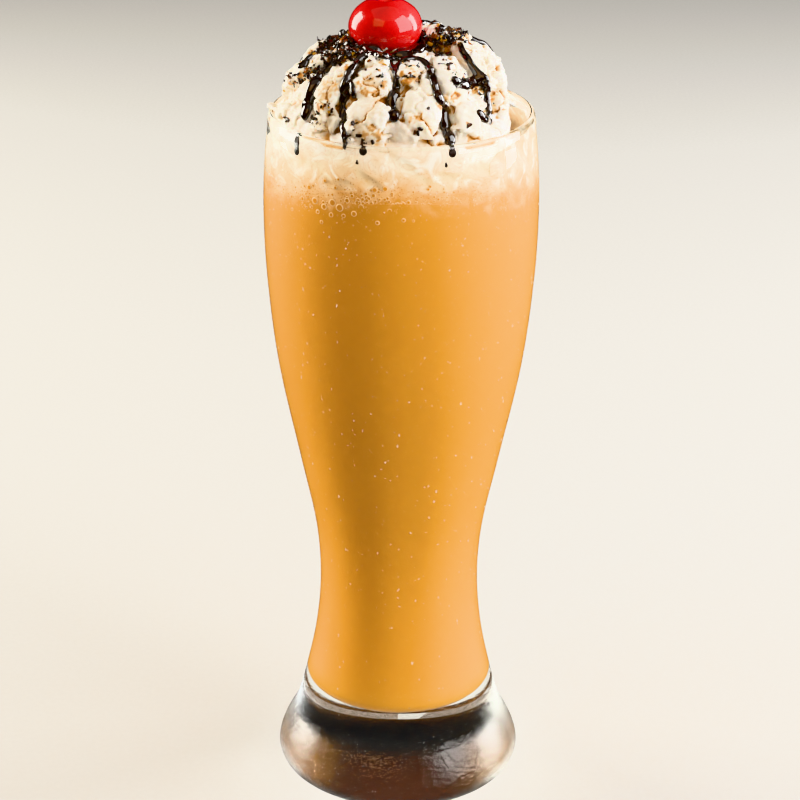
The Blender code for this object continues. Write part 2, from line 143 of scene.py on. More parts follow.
@dataclass(frozen=True)
class Finish:
    """What every finish shares: its name, its even values and the depth of its relief.

    The values that are the same all over are set on the shader's own sockets.
    """

    name: str
    colour: str
    roughness: float
    ior: float = 1.45
    extras: dict[str, Any] = field(default_factory=dict)
    depth: float = 0.0

    def pattern(self, tree: Tree, place: Socket) -> dict[str, Socket]:
        """What changes over the surface, by the shader's input that it feeds, and its Height."""
        return {}

    def build(self) -> bpy.types.Material:
        """Makes the material from its even values and its pattern.

        The pattern is laid out on object coordinates, which lie in the frame, as no piece is moved.

        Returns:
            The material.
        """
        material = bpy.data.materials.new(self.name)
        material.use_nodes = True
        tree = material.node_tree
        inputs = tree.nodes["Principled BSDF"].inputs
        even = {"Base Color": linear(self.colour), "Roughness": self.roughness, "IOR": self.ior}
        for name, value in {**even, **self.extras}.items():
            inputs[name].default_value = value
        made = self.pattern(tree, add_node(tree, "TexCoord", {}, "Object"))
        if "Height" in made:
            relief = {"Strength": 1.0, "Distance": self.depth * MM, "Height": made.pop("Height")}
            made["Normal"] = add_node(tree, "Bump", relief)
        for name, source in made.items():
            tree.links.new(source, inputs[name])
        return material


class SodaGlass(Finish):
    """Clear soda-lime glass: bright edges, slow waves from pressing, fine mist on the foot."""

    def pattern(self, tree: Tree, place: Socket) -> dict[str, Socket]:
        """Waves 18 mm long all over, and specks of mist 1.1 mm wide up to 19 to 26 mm.

        Args:
            tree: The node tree.
            place: Where the surface is.

        Returns:
            The relief.
        """
        waves = {"Vector": place, "Scale": per_metre(18.0), "Detail": 1.0}
        specks = {"Vector": place, "Scale": per_metre(1.1), "Detail": 4.0}
        height = add_node(tree, "SeparateXYZ", {"Vector": place}, "Z")
        foot = {"Value": height, "From Min": 0.019, "From Max": 0.026, **FALLING}
        wet = {**TIMES, 0: add_node(tree, "TexNoise", specks), 1: add_node(tree, "MapRange", foot)}
        both = {0: 0.85, 2: add_node(tree, "TexNoise", waves), 3: add_node(tree, "Math", wet)}
        return {"Height": add_node(tree, "Mix", both)}


@dataclass(frozen=True)
class Froth:
    """How coffee and milk blend at the glass: caramel below, golden foam, then white cream.

    It reads the attribute above, the height in millimetres over the line between drink and foam.
    Each range of heights says where a mark comes in, or where it fades out.
    """

    low: float = -4.0
    high: float = 20.0
    sway: float = 3.6
    ring: float = 1.0
    pit: float = 0.9
    tones: tuple[tuple[float, str], ...] = (
        (0.0, "#BE8733"),
        (0.13, "#C38C3E"),
        (0.22, "#D5A365"),
        (0.36, "#E4C091"),
        (0.55, "#EFD6B2"),
        (0.8, "#F9EDDA"),
        (1.0, "#FEFAF2"),
    )
    rings_in: Place = (-5.0, 0.0)
    rings_out: Place = (2.5, 6.0)
    pits_in: Place = (-1.0, 1.5)
    pits_out: Place = (5.0, 15.0)
    clumps_in: Place = (3.0, 8.0)

    def colour(self, tree: Tree, place: Socket) -> tuple[Socket, Socket]:
        """The blended colour, with rings of fine bubbles, white clumps, tan veins and dark pits.

        Args:
            tree: The node tree.
            place: Where the surface is.

        Returns:
            The colour, and the pattern of the rings.
        """
        above = add_node(tree, "Attribute", {"attribute_name": "above"}, "Fac")
        slow = {"Vector": place, "Scale": per_metre(8.0), "Detail": 5.0, "Distortion": 0.8}
        reach = {"From Min": 0.3, "From Max": 0.7, "To Min": -self.sway, "To Max": self.sway}
        shift = add_node(tree, "MapRange", {"Value": add_node(tree, "TexNoise", slow), **reach})
        uneven = add_node(tree, "Math", {"operation": "ADD", 0: above, 1: shift})
        way_up = {"Value": uneven, "From Min": self.low, "From Max": self.high}
        share = add_node(tree, "MapRange", way_up)
        colour = add_node(tree, "ValToRGB", {"Fac": share, "stops": self.tones})

        rings_in, pits_in, clumps_in, rings_out, pits_out = (
            add_node(tree, "MapRange", {"Value": above, "From Min": start, "From Max": end, **way})
            for (start, end), way in (
                (self.rings_in, {}),
                (self.pits_in, {}),
                (self.clumps_in, {}),
                (self.rings_out, FALLING),
                (self.pits_out, FALLING),
            )
        )
        broad = {"Vector": place, "Scale": per_metre(5.0), "Detail": 2.0}
        some = {"Value": add_node(tree, "TexNoise", broad), "From Min": 0.45, "From Max": 0.62}
        patches = add_node(tree, "MapRange", some)
        cells = add_node(tree, "TexVoronoi", {"Vector": place, "Scale": per_metre(self.ring)})
        walls = ((0.22, "#000000"), (0.32, "#BBBBBB"), (0.42, "#000000"))
        rings = add_node(tree, "ValToRGB", {"Fac": cells, "stops": walls})
        holes = add_node(tree, "TexVoronoi", {"Vector": place, "Scale": per_metre(self.pit)})
        deep = {"From Min": 0.14, "From Max": 0.28, "To Min": 0.75, "To Max": 0.0}
        pits = add_node(tree, "MapRange", {"Value": holes, **deep})
        folded = {"Vector": place, "Scale": per_metre(9.0), "Detail": 4.0, "Distortion": 2.5}
        streaks = add_node(tree, "TexNoise", folded)
        line = ((0.47, "#000000"), (0.5, "#999999"), (0.53, "#000000"))
        veins = add_node(tree, "ValToRGB", {"Fac": streaks, "stops": line})
        white = ((0.54, "#000000"), (0.66, "#FFFFFF"))
        clumps = add_node(tree, "ValToRGB", {"Fac": streaks, "stops": white})

        marks = (
            ((rings, rings_in, rings_out, patches), "#F2D6A4"),
            ((clumps, clumps_in), "#FFF8EC"),
            ((veins, clumps_in), "#CF9A60"),
            ((pits, pits_in, pits_out), "#A9672A"),
        )
        amounts = []
        for (amount, *parts), tone in marks:
            for part in parts:
                amount = add_node(tree, "Math", {**TIMES, 0: amount, 1: part})
            mix = {**BLEND, SHARE: amount, UNDER: colour, OVER: tone}
            colour = add_node(tree, "Mix", mix, MIXED)
            amounts.append(amount)
        return colour, amounts[0]


class BlendedCoffee(Finish):
    """A blended milk and coffee drink: soft caramel brown, sparse pale bubbles, fine froth."""

    def pattern(self, tree: Tree, place: Socket) -> dict[str, Socket]:
        """Froth near the top, pale bubbles 1.6 mm apart, and painted shade on the drink's
        underside.

        Args:
            tree: The node tree.
            place: Where the surface is.

        Returns:
            The colour and the relief.
        """
        froth, rings = Froth().colour(tree, place)
        cells = add_node(tree, "TexVoronoi", {"Vector": place, "Scale": per_metre(1.6)})
        near = {"From Min": 0.07, "From Max": 0.14, "To Min": 0.35, "To Max": 0.0}
        specks = add_node(tree, "MapRange", {"Value": cells, **near})
        mix = {**BLEND, SHARE: specks, UNDER: froth, OVER: "#DDAE68"}
        speckled = add_node(tree, "Mix", mix, MIXED)
        # Painted shade: the drink's underside on the glass's floor is painted dark brown below 30.6
        # mm, fading out by 32 mm.
        height = add_node(tree, "SeparateXYZ", {"Vector": place}, "Z")
        floor = {"Value": height, "From Min": 0.0306, "From Max": 0.0320, **FALLING}
        painted_underside_shade = add_node(tree, "MapRange", floor)
        mix = {**BLEND, SHARE: painted_underside_shade, UNDER: speckled, OVER: "#4A2008"}
        return {"Base Color": add_node(tree, "Mix", mix, MIXED), "Height": rings}


class MilkFoam(Finish):
    """Milk foam against glass: rings of pale bubbles over coffee, with white clumps higher up."""

    def pattern(self, tree: Tree, place: Socket) -> dict[str, Socket]:
        """The froth's colour, and the relief of its rings."""
        colour, rings = Froth().colour(tree, place)
        return {"Base Color": colour, "Height": rings}


class WhippedCreamFinish(Finish):
    """Sweetened whipped cream: warm white, satin, light soaks in, amber where syrup has run, and
    painted shade in its creases and on some front faces.

    Inside the glass it has taken up coffee, more of it nearer the foam.
    """

    def pattern(self, tree: Tree, place: Socket) -> dict[str, Socket]:
        """Clouds 7 mm wide, a grain of 1.2 mm, syrup stains with painted shade in the creases, and
        the coffee it has soaked up.

        Args:
            tree: The node tree.
            place: Where the surface is.

        Returns:
            The colour, how much light soaks in, and the relief.
        """
        stain = add_node(tree, "Attribute", {"attribute_name": "stain"}, "Fac")
        above = add_node(tree, "Attribute", {"attribute_name": "above"}, "Fac")
        clouds = {"Vector": place, "Scale": per_metre(7.0), "Detail": 4.0}
        cloud = add_node(tree, "TexNoise", clouds)
        whites = ((0.35, "#F9F0DE"), (0.65, "#FEFBF5"))
        body = add_node(tree, "ValToRGB", {"Fac": cloud, "stops": whites})
        # Syrup stain and painted shade: tan, then amber, then dark brown, by the attribute that
        # holds both.
        stain_and_shade_tones = ((0.0, "#F7E8CE"), (0.3, "#E8C794"), (0.62, "#C4863C"), (0.9, "#6A3012"))
        amber = add_node(tree, "ValToRGB", {"Fac": stain, "stops": stain_and_shade_tones})
        inside = add_node(tree, "MapRange", {"Value": above, "From Min": 22.0, "From Max": 16.0})
        froth = Froth().colour(tree, place)[0]
        mix = {**BLEND, SHARE: inside, UNDER: body, OVER: froth}
        soaked = add_node(tree, "Mix", mix, MIXED)
        tint = add_node(tree, "Math", {**TIMES, 0: stain, 1: 3.0})
        mix = {**BLEND, SHARE: tint, UNDER: soaked, OVER: amber}
        free = {"Value": above, "From Min": 16.0, "From Max": 22.0, "To Max": 0.3}
        grain = {"Vector": place, "Scale": per_metre(1.2), "Detail": 5.0}
        return {
            "Base Color": add_node(tree, "Mix", mix, MIXED),
            "Subsurface Weight": add_node(tree, "MapRange", free),
            "Height": add_node(tree, "TexNoise", grain),
        }


@dataclass(frozen=True)
class Mottled(Finish):
    """A finish whose colour changes slowly from place to place, and which may have a finer skin."""

    tones: tuple[tuple[float, str], ...] = ()
    tone_size: float = 1.0
    tone_detail: float = 2.0
    skin_size: float = 0.0

    def pattern(self, tree: Tree, place: Socket) -> dict[str, Socket]:
        """The slow change of tone, and the relief of the skin where there is one.

        Args:
            tree: The node tree.
            place: Where the surface is.

        Returns:
            The colour, and the relief.
        """
        clouds = {"Vector": place, "Scale": per_metre(self.tone_size), "Detail": self.tone_detail}
        tone = {"Fac": add_node(tree, "TexNoise", clouds), "stops": self.tones}
        made = {"Base Color": add_node(tree, "ValToRGB", tone)}
        if self.skin_size:
            skin = {"Vector": place, "Scale": per_metre(self.skin_size), "Detail": 2.0}
            made["Height"] = add_node(tree, "TexNoise", skin)
        return made


class ChocolateSyrup(Mottled):
    """Dark chocolate syrup: near black, wet gloss, red brown where it runs thin."""


class CandiedCherry(Mottled):
    """A cocktail cherry in clear syrup: saturated red flesh under a wet, mirror-smooth coat."""


class PaleFloor(Mottled):
    """A matt painted studio table: pale, without gloss, with a tooth that hardly shows."""


@dataclass(frozen=True)
class Toned(Finish):
    """A finish whose colour follows one of the piece's own attributes."""

    attribute: str = "shade"
    tones: tuple[tuple[float, str], ...] = ()
    grain_size: float = 0.0

    def pattern(self, tree: Tree, place: Socket) -> dict[str, Socket]:
        """The colour by the attribute, and the relief of the grain where there is one.

        Args:
            tree: The node tree.
            place: Where the surface is.

        Returns:
            The colour, and the relief.
        """
        value = add_node(tree, "Attribute", {"attribute_name": self.attribute}, "Fac")
        made = {"Base Color": add_node(tree, "ValToRGB", {"Fac": value, "stops": self.tones})}
        if self.grain_size:
            grain = {"Vector": place, "Scale": per_metre(self.grain_size), "Detail": 2.0}
            made["Height"] = add_node(tree, "TexNoise", grain)
        return made


class ChocolateCrumb(Toned):
    """Broken dark chocolate with a few golden crumbs: waxy gloss and a dusty break."""


class BubbleSkin(Toned):
    """A bubble against glass: the drink shows through its middle, and its pale rim is the bubble's
    wall with a painted highlight.
    """


class WaterDrop(Finish):
    """Condensed water on cold glass: clear beads, each with its own small glint."""


class Stock(Enum):
    """The finishes that the pieces are made in."""

    GLASS = SodaGlass(
        "soda-lime glass, pressed", "#F7FBFA", 0.0, 1.5, {"Transmission Weight": 1.0}, 0.3
    )
    DRINK = BlendedCoffee(
        "blended milk coffee", "#BE8733", 0.42, 1.4, {"Specular IOR Level": 0.5}, 0.15
    )
    FOAM = MilkFoam("milk foam", "#DDB37C", 0.42, 1.4, {"Specular IOR Level": 0.5}, 0.15)
    CREAM = WhippedCreamFinish(
        "whipped cream",
        "#FBF0DC",
        0.42,
        1.45,
        {"Subsurface Radius": (1.0, 0.8, 0.55), "Subsurface Scale": 0.002},
        0.18,
    )
    SYRUP = ChocolateSyrup(
        "chocolate syrup",
        "#1C0805",
        0.1,
        1.5,
        {"Coat Weight": 0.6, "Coat Roughness": 0.03},
        tones=((0.35, "#0B0302"), (0.75, "#260D07")),
        tone_size=3.0,
    )
    CRUMB = ChocolateCrumb(
        "broken chocolate",
        "#2A110A",
        0.25,
        1.5,
        {"Coat Weight": 0.5},
        0.1,
        tones=(
            (0.0, "#0C0403"),
            (0.5, "#2A1008"),
            (0.78, "#5A2810"),
            (0.88, "#8A4A1C"),
            (0.96, "#C99534"),
        ),
        grain_size=0.6,
    )
    CHERRY = CandiedCherry(
        "candied cherry",
        "#A80307",
        0.25,
        1.45,
        {"Specular IOR Level": 0.15, "Coat Weight": 1.0, "Coat Roughness": 0.02, "Coat IOR": 1.5},
        0.12,
        tones=((0.3, "#AC0A0A"), (0.7, "#D6120E")),
        tone_size=9.0,
        tone_detail=3.0,
        skin_size=2.5,
    )
    BUBBLE = BubbleSkin(
        "foam bubble",
        "#EFC98C",
        0.12,
        1.4,
        attribute="rim",
        # Painted highlight: the ring at 0.8 is pale, and it turns darker again towards the edge.
        tones=(
            (0.0, "#BC8034"),
            (0.62, "#C28A40"),
            (0.8, "#F8E2BA"),
            (0.9, "#C48E48"),
            (1.0, "#94602A"),
        ),
    )
    WATER = WaterDrop("condensed water", "#FFFFFF", 0.05, 1.33, {"Transmission Weight": 0.85})
    FLOOR = PaleFloor(
        "matt painted table",
        "#CCCAC6",
        0.8,
        tones=((0.3, "#BDBBB7"), (0.7, "#C1BFBB")),
        tone_size=2.0,
    )

    def material(self) -> bpy.types.Material:
        """The one material of this finish, made when it is first asked for."""
        return bpy.data.materials.get(self.value.name) or self.value.build()


def evenly(first: float, last: float, steps: int) -> list[float]:
    """Values from the first to the last in equal steps, both included."""
    return [first + (last - first) * index / steps for index in range(steps + 1)]


def outward(azimuth: float, rise: float = 0.0) -> Vector:
    """The level direction at an azimuth in radians, with a rise added to it."""
    return Vector((math.sin(azimuth), -math.cos(azimuth), rise))


def joined(
    body: bmesh.types.BMesh,
    name: str,
    stock: Stock,
    smooth: bool = True,
    recalculate: bool = True,
) -> bpy.types.Object:
    """Makes a piece from a mesh in millimetres and lets it ride on the glass's body.

    Args:
        body: The mesh, which this frees.
        name: The piece's name.
        stock: Its finish.
        smooth: Whether its faces are shaded smooth.
        recalculate: Whether its normals are worked out anew.

    Returns:
        The piece, at the origin, unturned and unscaled.
    """
    if recalculate:
        bmesh.ops.recalc_face_normals(body, faces=body.faces)
    bmesh.ops.scale(body, vec=(MM, MM, MM), verts=body.verts)
    mesh = bpy.data.meshes.new(name)
    body.to_mesh(mesh)
    body.free()
    if smooth:
        mesh.shade_smooth()
        mesh.set_sharp_from_angle(angle=CREASE_ANGLE)
    mesh.materials.append(stock.material())
    piece = bpy.data.objects.new(name, mesh)
    bpy.context.scene.collection.objects.link(piece)
    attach(piece, ROOT)
    LOG.info("%s: %d faces", name, len(mesh.polygons))
    return piece


def turned(profile: Outline, segments: int) -> bmesh.types.BMesh:
    """Turns an outline round the upright axis.

    Args:
        profile: Points (radius, height) from the axis back to the axis.
        segments: The number of steps round.

    Returns:
        The closed mesh.
    """
    body = bmesh.new()
    points = [body.verts.new((radius, 0.0, height)) for radius, height in profile]
    edges = [body.edges.new(pair) for pair in zip(points, points[1:])]
    bmesh.ops.spin(
        body,
        geom=points + edges,
        axis=(0, 0, 1),
        cent=(0, 0, 0),
        steps=segments,
        angle=2 * math.pi,
        use_merge=True,
    )
    bmesh.ops.remove_doubles(body, verts=body.verts, dist=0.005)
    return body


def mesh_of(body: bmesh.types.BMesh, name: str) -> bpy.types.Mesh:
    """Turns a working mesh into stored mesh data, and frees it.

    Args:
        body: The working mesh.
        name: The data's name.

    Returns:
        The mesh data.
    """
    mesh = bpy.data.meshes.new(name)
    body.to_mesh(mesh)
    body.free()
    return mesh


def taken(mesh: bpy.types.Mesh) -> bmesh.types.BMesh:
    """Turns stored mesh data back into a working mesh, and removes it.

    Args:
        mesh: The mesh data.

    Returns:
        The working mesh.
    """
    body = bmesh.new()
    body.from_mesh(mesh)
    bpy.data.meshes.remove(mesh)
    return body


def add_copy(
    body: bmesh.types.BMesh, shape: bpy.types.Mesh, place: Matrix, shade: float | None = None
) -> None:
    """Adds a copy of a small shape that was made once, which is quicker than making each anew.

    Args:
        body: The mesh that grows.
        shape: The shape, about the origin.
        place: Where the copy goes.
        shade: The value of its faces' shade, where it has one.
    """
    copy = shape.copy()
    copy.transform(place)
    if shade is not None:
        copy.attributes["shade"].data.foreach_set("value", [shade] * len(copy.polygons))
    body.from_mesh(copy)
    bpy.data.meshes.remove(copy)


def standing(point: Vector, normal: Vector, turn: float = 0.0, lean: float = 0.0) -> Matrix:
    """The place of a thing that stands on a surface.

    Args:
        point: Where it stands.
        normal: The surface's direction there.
        turn: How far it is turned about that direction, in radians.
        lean: How far it leans, in radians.

    Returns:
        The matrix.
    """
    stand = normal.to_track_quat("Z", "Y").to_matrix().to_4x4()
    leaning = Matrix.Rotation(lean, 4, "X") @ Matrix.Rotation(turn, 4, "Z")
    return Matrix.Translation(point) @ stand @ leaning


def voxel_skin(body: bmesh.types.BMesh, voxel: float) -> bpy.types.Mesh:
    """Melts overlapping closed shapes into one skin.

    Args:
        body: The shapes in millimetres, which this frees.
        voxel: The size of a face in millimetres.

    Returns:
        The skin as a mesh in millimetres.
    """
    mesh = mesh_of(body, "melted")
    holder = bpy.data.objects.new("melted", mesh)
    bpy.context.scene.collection.objects.link(holder)
    modifier = holder.modifiers.new("melt", "REMESH")
    modifier.mode = "VOXEL"
    modifier.voxel_size = voxel
    graph = bpy.context.evaluated_depsgraph_get()
    skin = bpy.data.meshes.new_from_object(holder.evaluated_get(graph))
    bpy.data.objects.remove(holder)
    bpy.data.meshes.remove(mesh)
    return skin


def drift(place: Vector) -> Vector:
    """A smooth direction that changes from place to place, the same in each run."""
    shifts = (Vector((0, 0, 0)), Vector((31, 0, 0)), Vector((0, 47, 0)))
    return Vector([noise.noise(place + shift) for shift in shifts])


def coordinates(mesh: bpy.types.Mesh) -> np.ndarray:
    """Reads a mesh's points.

    Args:
        mesh: The mesh data.

    Returns:
        Rows of x, y and z.
    """
    values = np.empty(len(mesh.vertices) * 3)
    mesh.vertices.foreach_get("co", values)
    return values.reshape(-1, 3)


def relaxed(mesh: bpy.types.Mesh, points: np.ndarray, rounds: int) -> np.ndarray:
    """Moves each point halfway to the mean of its neighbours, some rounds in a row.

    Args:
        mesh: The mesh whose edges join the points.
        points: The points to start from.
        rounds: How many times.

    Returns:
        The smoother points.
    """
    ends = np.empty(len(mesh.edges) * 2, dtype=np.int64)
    mesh.edges.foreach_get("vertices", ends)
    first, second = ends[0::2], ends[1::2]
    count = np.bincount(ends, minlength=len(points))[:, None]
    for _ in range(rounds):
        total = np.stack(
            [
                np.bincount(first, points[second, axis], len(points))
                + np.bincount(second, points[first, axis], len(points))
                for axis in range(3)
            ],
            axis=1,
        )
        points = (points + total / count) / 2
    return points


def normals_of(mesh: bpy.types.Mesh, points: np.ndarray) -> np.ndarray:
    """Writes the points to the mesh and reads its normals back.

    Args:
        mesh: The mesh data.
        points: Where its points go.

    Returns:
        The outward direction at each point.
    """
    mesh.vertices.foreach_set("co", points.ravel())
    mesh.update()
    values = np.empty(len(points) * 3)
    mesh.vertex_normals.foreach_get("vector", values)
    return values.reshape(-1, 3)


@dataclass(frozen=True)
class View:
    """The photographed view, found from the outline of the glass.

    Places in it are (across, down) in an 800 by 800 frame. What the view shows is laid where its
    line of sight meets the cream, so it lies on the cream from every side.
    """

    eye: Vector = field(default_factory=lambda: Vector((0.0, -0.7057, 0.4394)))
    pitch: float = 23.357
    roll: float = 0.363
    focal: float = 2301.1
    frame: float = 800.0

    def axes(self) -> tuple[Vector, Vector, Vector]:
        """The view's axes.

        Returns:
            The directions across, up and forward.
        """
        pitch, roll = math.radians(self.pitch), math.radians(self.roll)
        forward = Vector((0.0, math.cos(pitch), -math.sin(pitch)))
        level = Vector((1.0, 0.0, 0.0))
        up = level.cross(forward)
        across = level * math.cos(roll) + up * math.sin(roll)
        return across, up * math.cos(roll) - level * math.sin(roll), forward

    def way(self, across: float, down: float) -> Vector:
        """The direction of the line of sight through a place in the frame.

        Args:
            across: From the frame's left edge.
            down: From its top edge.

        Returns:
            The unit direction.
        """
        side, above, forward = self.axes()
        middle = self.frame / 2
        level = side * (across - middle) - above * (down - middle)
        return (forward * self.focal + level).normalized()

    def millimetres(self, length: float, point: Vector) -> float:
        """A length in the frame, as millimetres at a point."""
        return length * (point - self.eye / MM).length / self.focal


@dataclass
class FootedGlass:
    """The tall glass: its outer wall, its even wall thickness and its thick solid foot."""

    height: float = 235.0
    outer_wall: tuple[Place, ...] = (
        (235.0, 42.3),
        (220.0, 43.8),
        (203.0, 44.5),
        (180.0, 43.7),
        (150.0, 40.4),
        (115.0, 33.4),
        (90.0, 28.4),
        (70.0, 27.1),
        (50.0, 28.8),
        (30.0, 33.0),
        (18.8, 36.0),
    )
    wall: float = 2.1
    wall_thickening: float = 0.5
    foot_top: float = 18.8
    foot_radius: float = 42.0
    foot_widest: float = 5.0
    foot_round: float = 4.2
    rest_radius: float = 33.0
    punt: float = 2.5
    floor: float = 30.5
    floor_round: float = 4.0
    segments: int = 192
    levels: int = 70
    round_steps: int = 10
    lip_span: float = 4.0
    lip_steps: int = 14
    lip_outside: float = 0.12
    lip_inside: float = 0.8
    water_room: float = 0.16

    def swell(self, height: float) -> float:
        """How far, from 0 to 1, the fire-polished lip is swollen at a height."""
        share = (height - self.height + self.wall / 2 + self.lip_span) / self.lip_span
        return math.sin(math.pi * share) ** 2 if 0.0 < share < 1.0 else 0.0

    def flank(self, height: float) -> float:
        """The radius of the foot's outside above its widest place.

        Args:
            height: The height in millimetres.

        Returns:
            The radius in millimetres.
        """
        share = (height - self.foot_widest) / (self.foot_top - self.foot_widest)
        if share > 1.0:
            return self.outer(height)
        return self.foot_radius + (self.outer(self.foot_top) - self.foot_radius) * share**1.5

    def outer(self, height: float) -> float:
        """The outer radius at a height, on a smooth curve through the wall's stations.

        It is drawn in a little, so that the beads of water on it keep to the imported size.

        Args:
            height: The height in millimetres.

        Returns:
            The radius in millimetres.
        """
        rising = sorted(self.outer_wall)
        index = sum(1 for station in rising[1:-1] if station[0] <= height)
        low, high = rising[index], rising[index + 1]
        before = rising[max(index - 1, 0)]
        after = rising[min(index + 2, len(rising) - 1)]
        span = high[0] - low[0]
        slope_low = (high[1] - before[1]) / (high[0] - before[0])
        slope_high = (after[1] - low[1]) / (after[0] - low[0])
        t = (height - low[0]) / span
        return (
            (2 * t**3 - 3 * t**2 + 1) * low[1]
            + (t**3 - 2 * t**2 + t) * span * slope_low
            + (3 * t**2 - 2 * t**3) * high[1]
            + (t**3 - t**2) * span * slope_high
            - self.water_room
        )

    def inner(self, height: float) -> float:
        """The inner radius at a height, as the wall grows thicker downwards."""
        depth = (self.height - height) / self.height
        return self.outer(height) - self.wall - self.wall_thickening * depth

    def inner_wall(self, reach: float) -> tuple[np.ndarray, np.ndarray]:
        """Heights up to the rim, with the inner radius at each and a reach into the wall."""
        heights = np.linspace(200.0, self.height, 71)
        return heights, np.array([self.inner(height) for height in heights]) + reach

    def floor_corner(self, margin: float) -> Outline:
        """The inner floor and its rounded corner, from the axis outwards.

        Args:
            margin: How far it is drawn in, or pushed into the glass where it is negative.

        Returns:
            The outline's points.
        """
        wall = self.inner(self.floor + self.floor_round) - margin
        floor = self.floor + margin
        points = [(0.0, floor)]
        for angle in evenly(0.0, math.pi / 2, self.round_steps):
            radius = wall - self.floor_round * (1 - math.sin(angle))
            points.append((radius, floor + self.floor_round * (1 - math.cos(angle))))
        return points

    def profile(self) -> Outline:
        """The glass's whole outline, from the middle of its underside to its inner floor.

        Returns:
            The outline's points.
        """
        points = [(0.0, self.punt), (0.6 * self.rest_radius, 0.7 * self.punt)]
        points += [(self.rest_radius - 1.0, 0.12), (self.rest_radius, 0.0)]
        for angle in evenly(0.0, math.pi / 2, self.round_steps):
            radius = self.foot_radius - self.foot_round * (1 - math.sin(angle))
            points.append((radius, self.foot_widest * (1 - math.cos(angle))))
        for height in evenly(self.foot_widest, self.foot_top, 12)[1:]:
            points.append((self.flank(height), height))
        lip = self.wall / 2
        top = self.height - lip
        neck = top - self.lip_span
        rise = evenly(self.foot_top, neck, self.levels) + evenly(neck, top, self.lip_steps)[1:]
        points += [(self.outer(z) + self.lip_outside * self.swell(z), z) for z in rise[1:]]
        middle = self.outer(self.height) - lip
        for angle in evenly(0.0, math.pi, 12)[1:-1]:
            points.append((middle + lip * math.cos(angle), top + lip * math.sin(angle)))
        low = self.floor + self.floor_round
        fall = evenly(top, neck, self.lip_steps) + evenly(neck, low, self.levels)[1:]
        points += [(self.inner(z) - self.lip_inside * self.swell(z), z) for z in fall[:-1]]
        return points + self.floor_corner(0.0)[::-1]

    def build(self) -> bpy.types.Object:
        """Makes the glass, which lets the lamps through to what is in it.

        Returns:
            The piece.
        """
        piece = joined(turned(self.profile(), self.segments), "glass_wall", Stock.GLASS)
        piece.visible_shadow = False
        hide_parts("glass")
        return piece


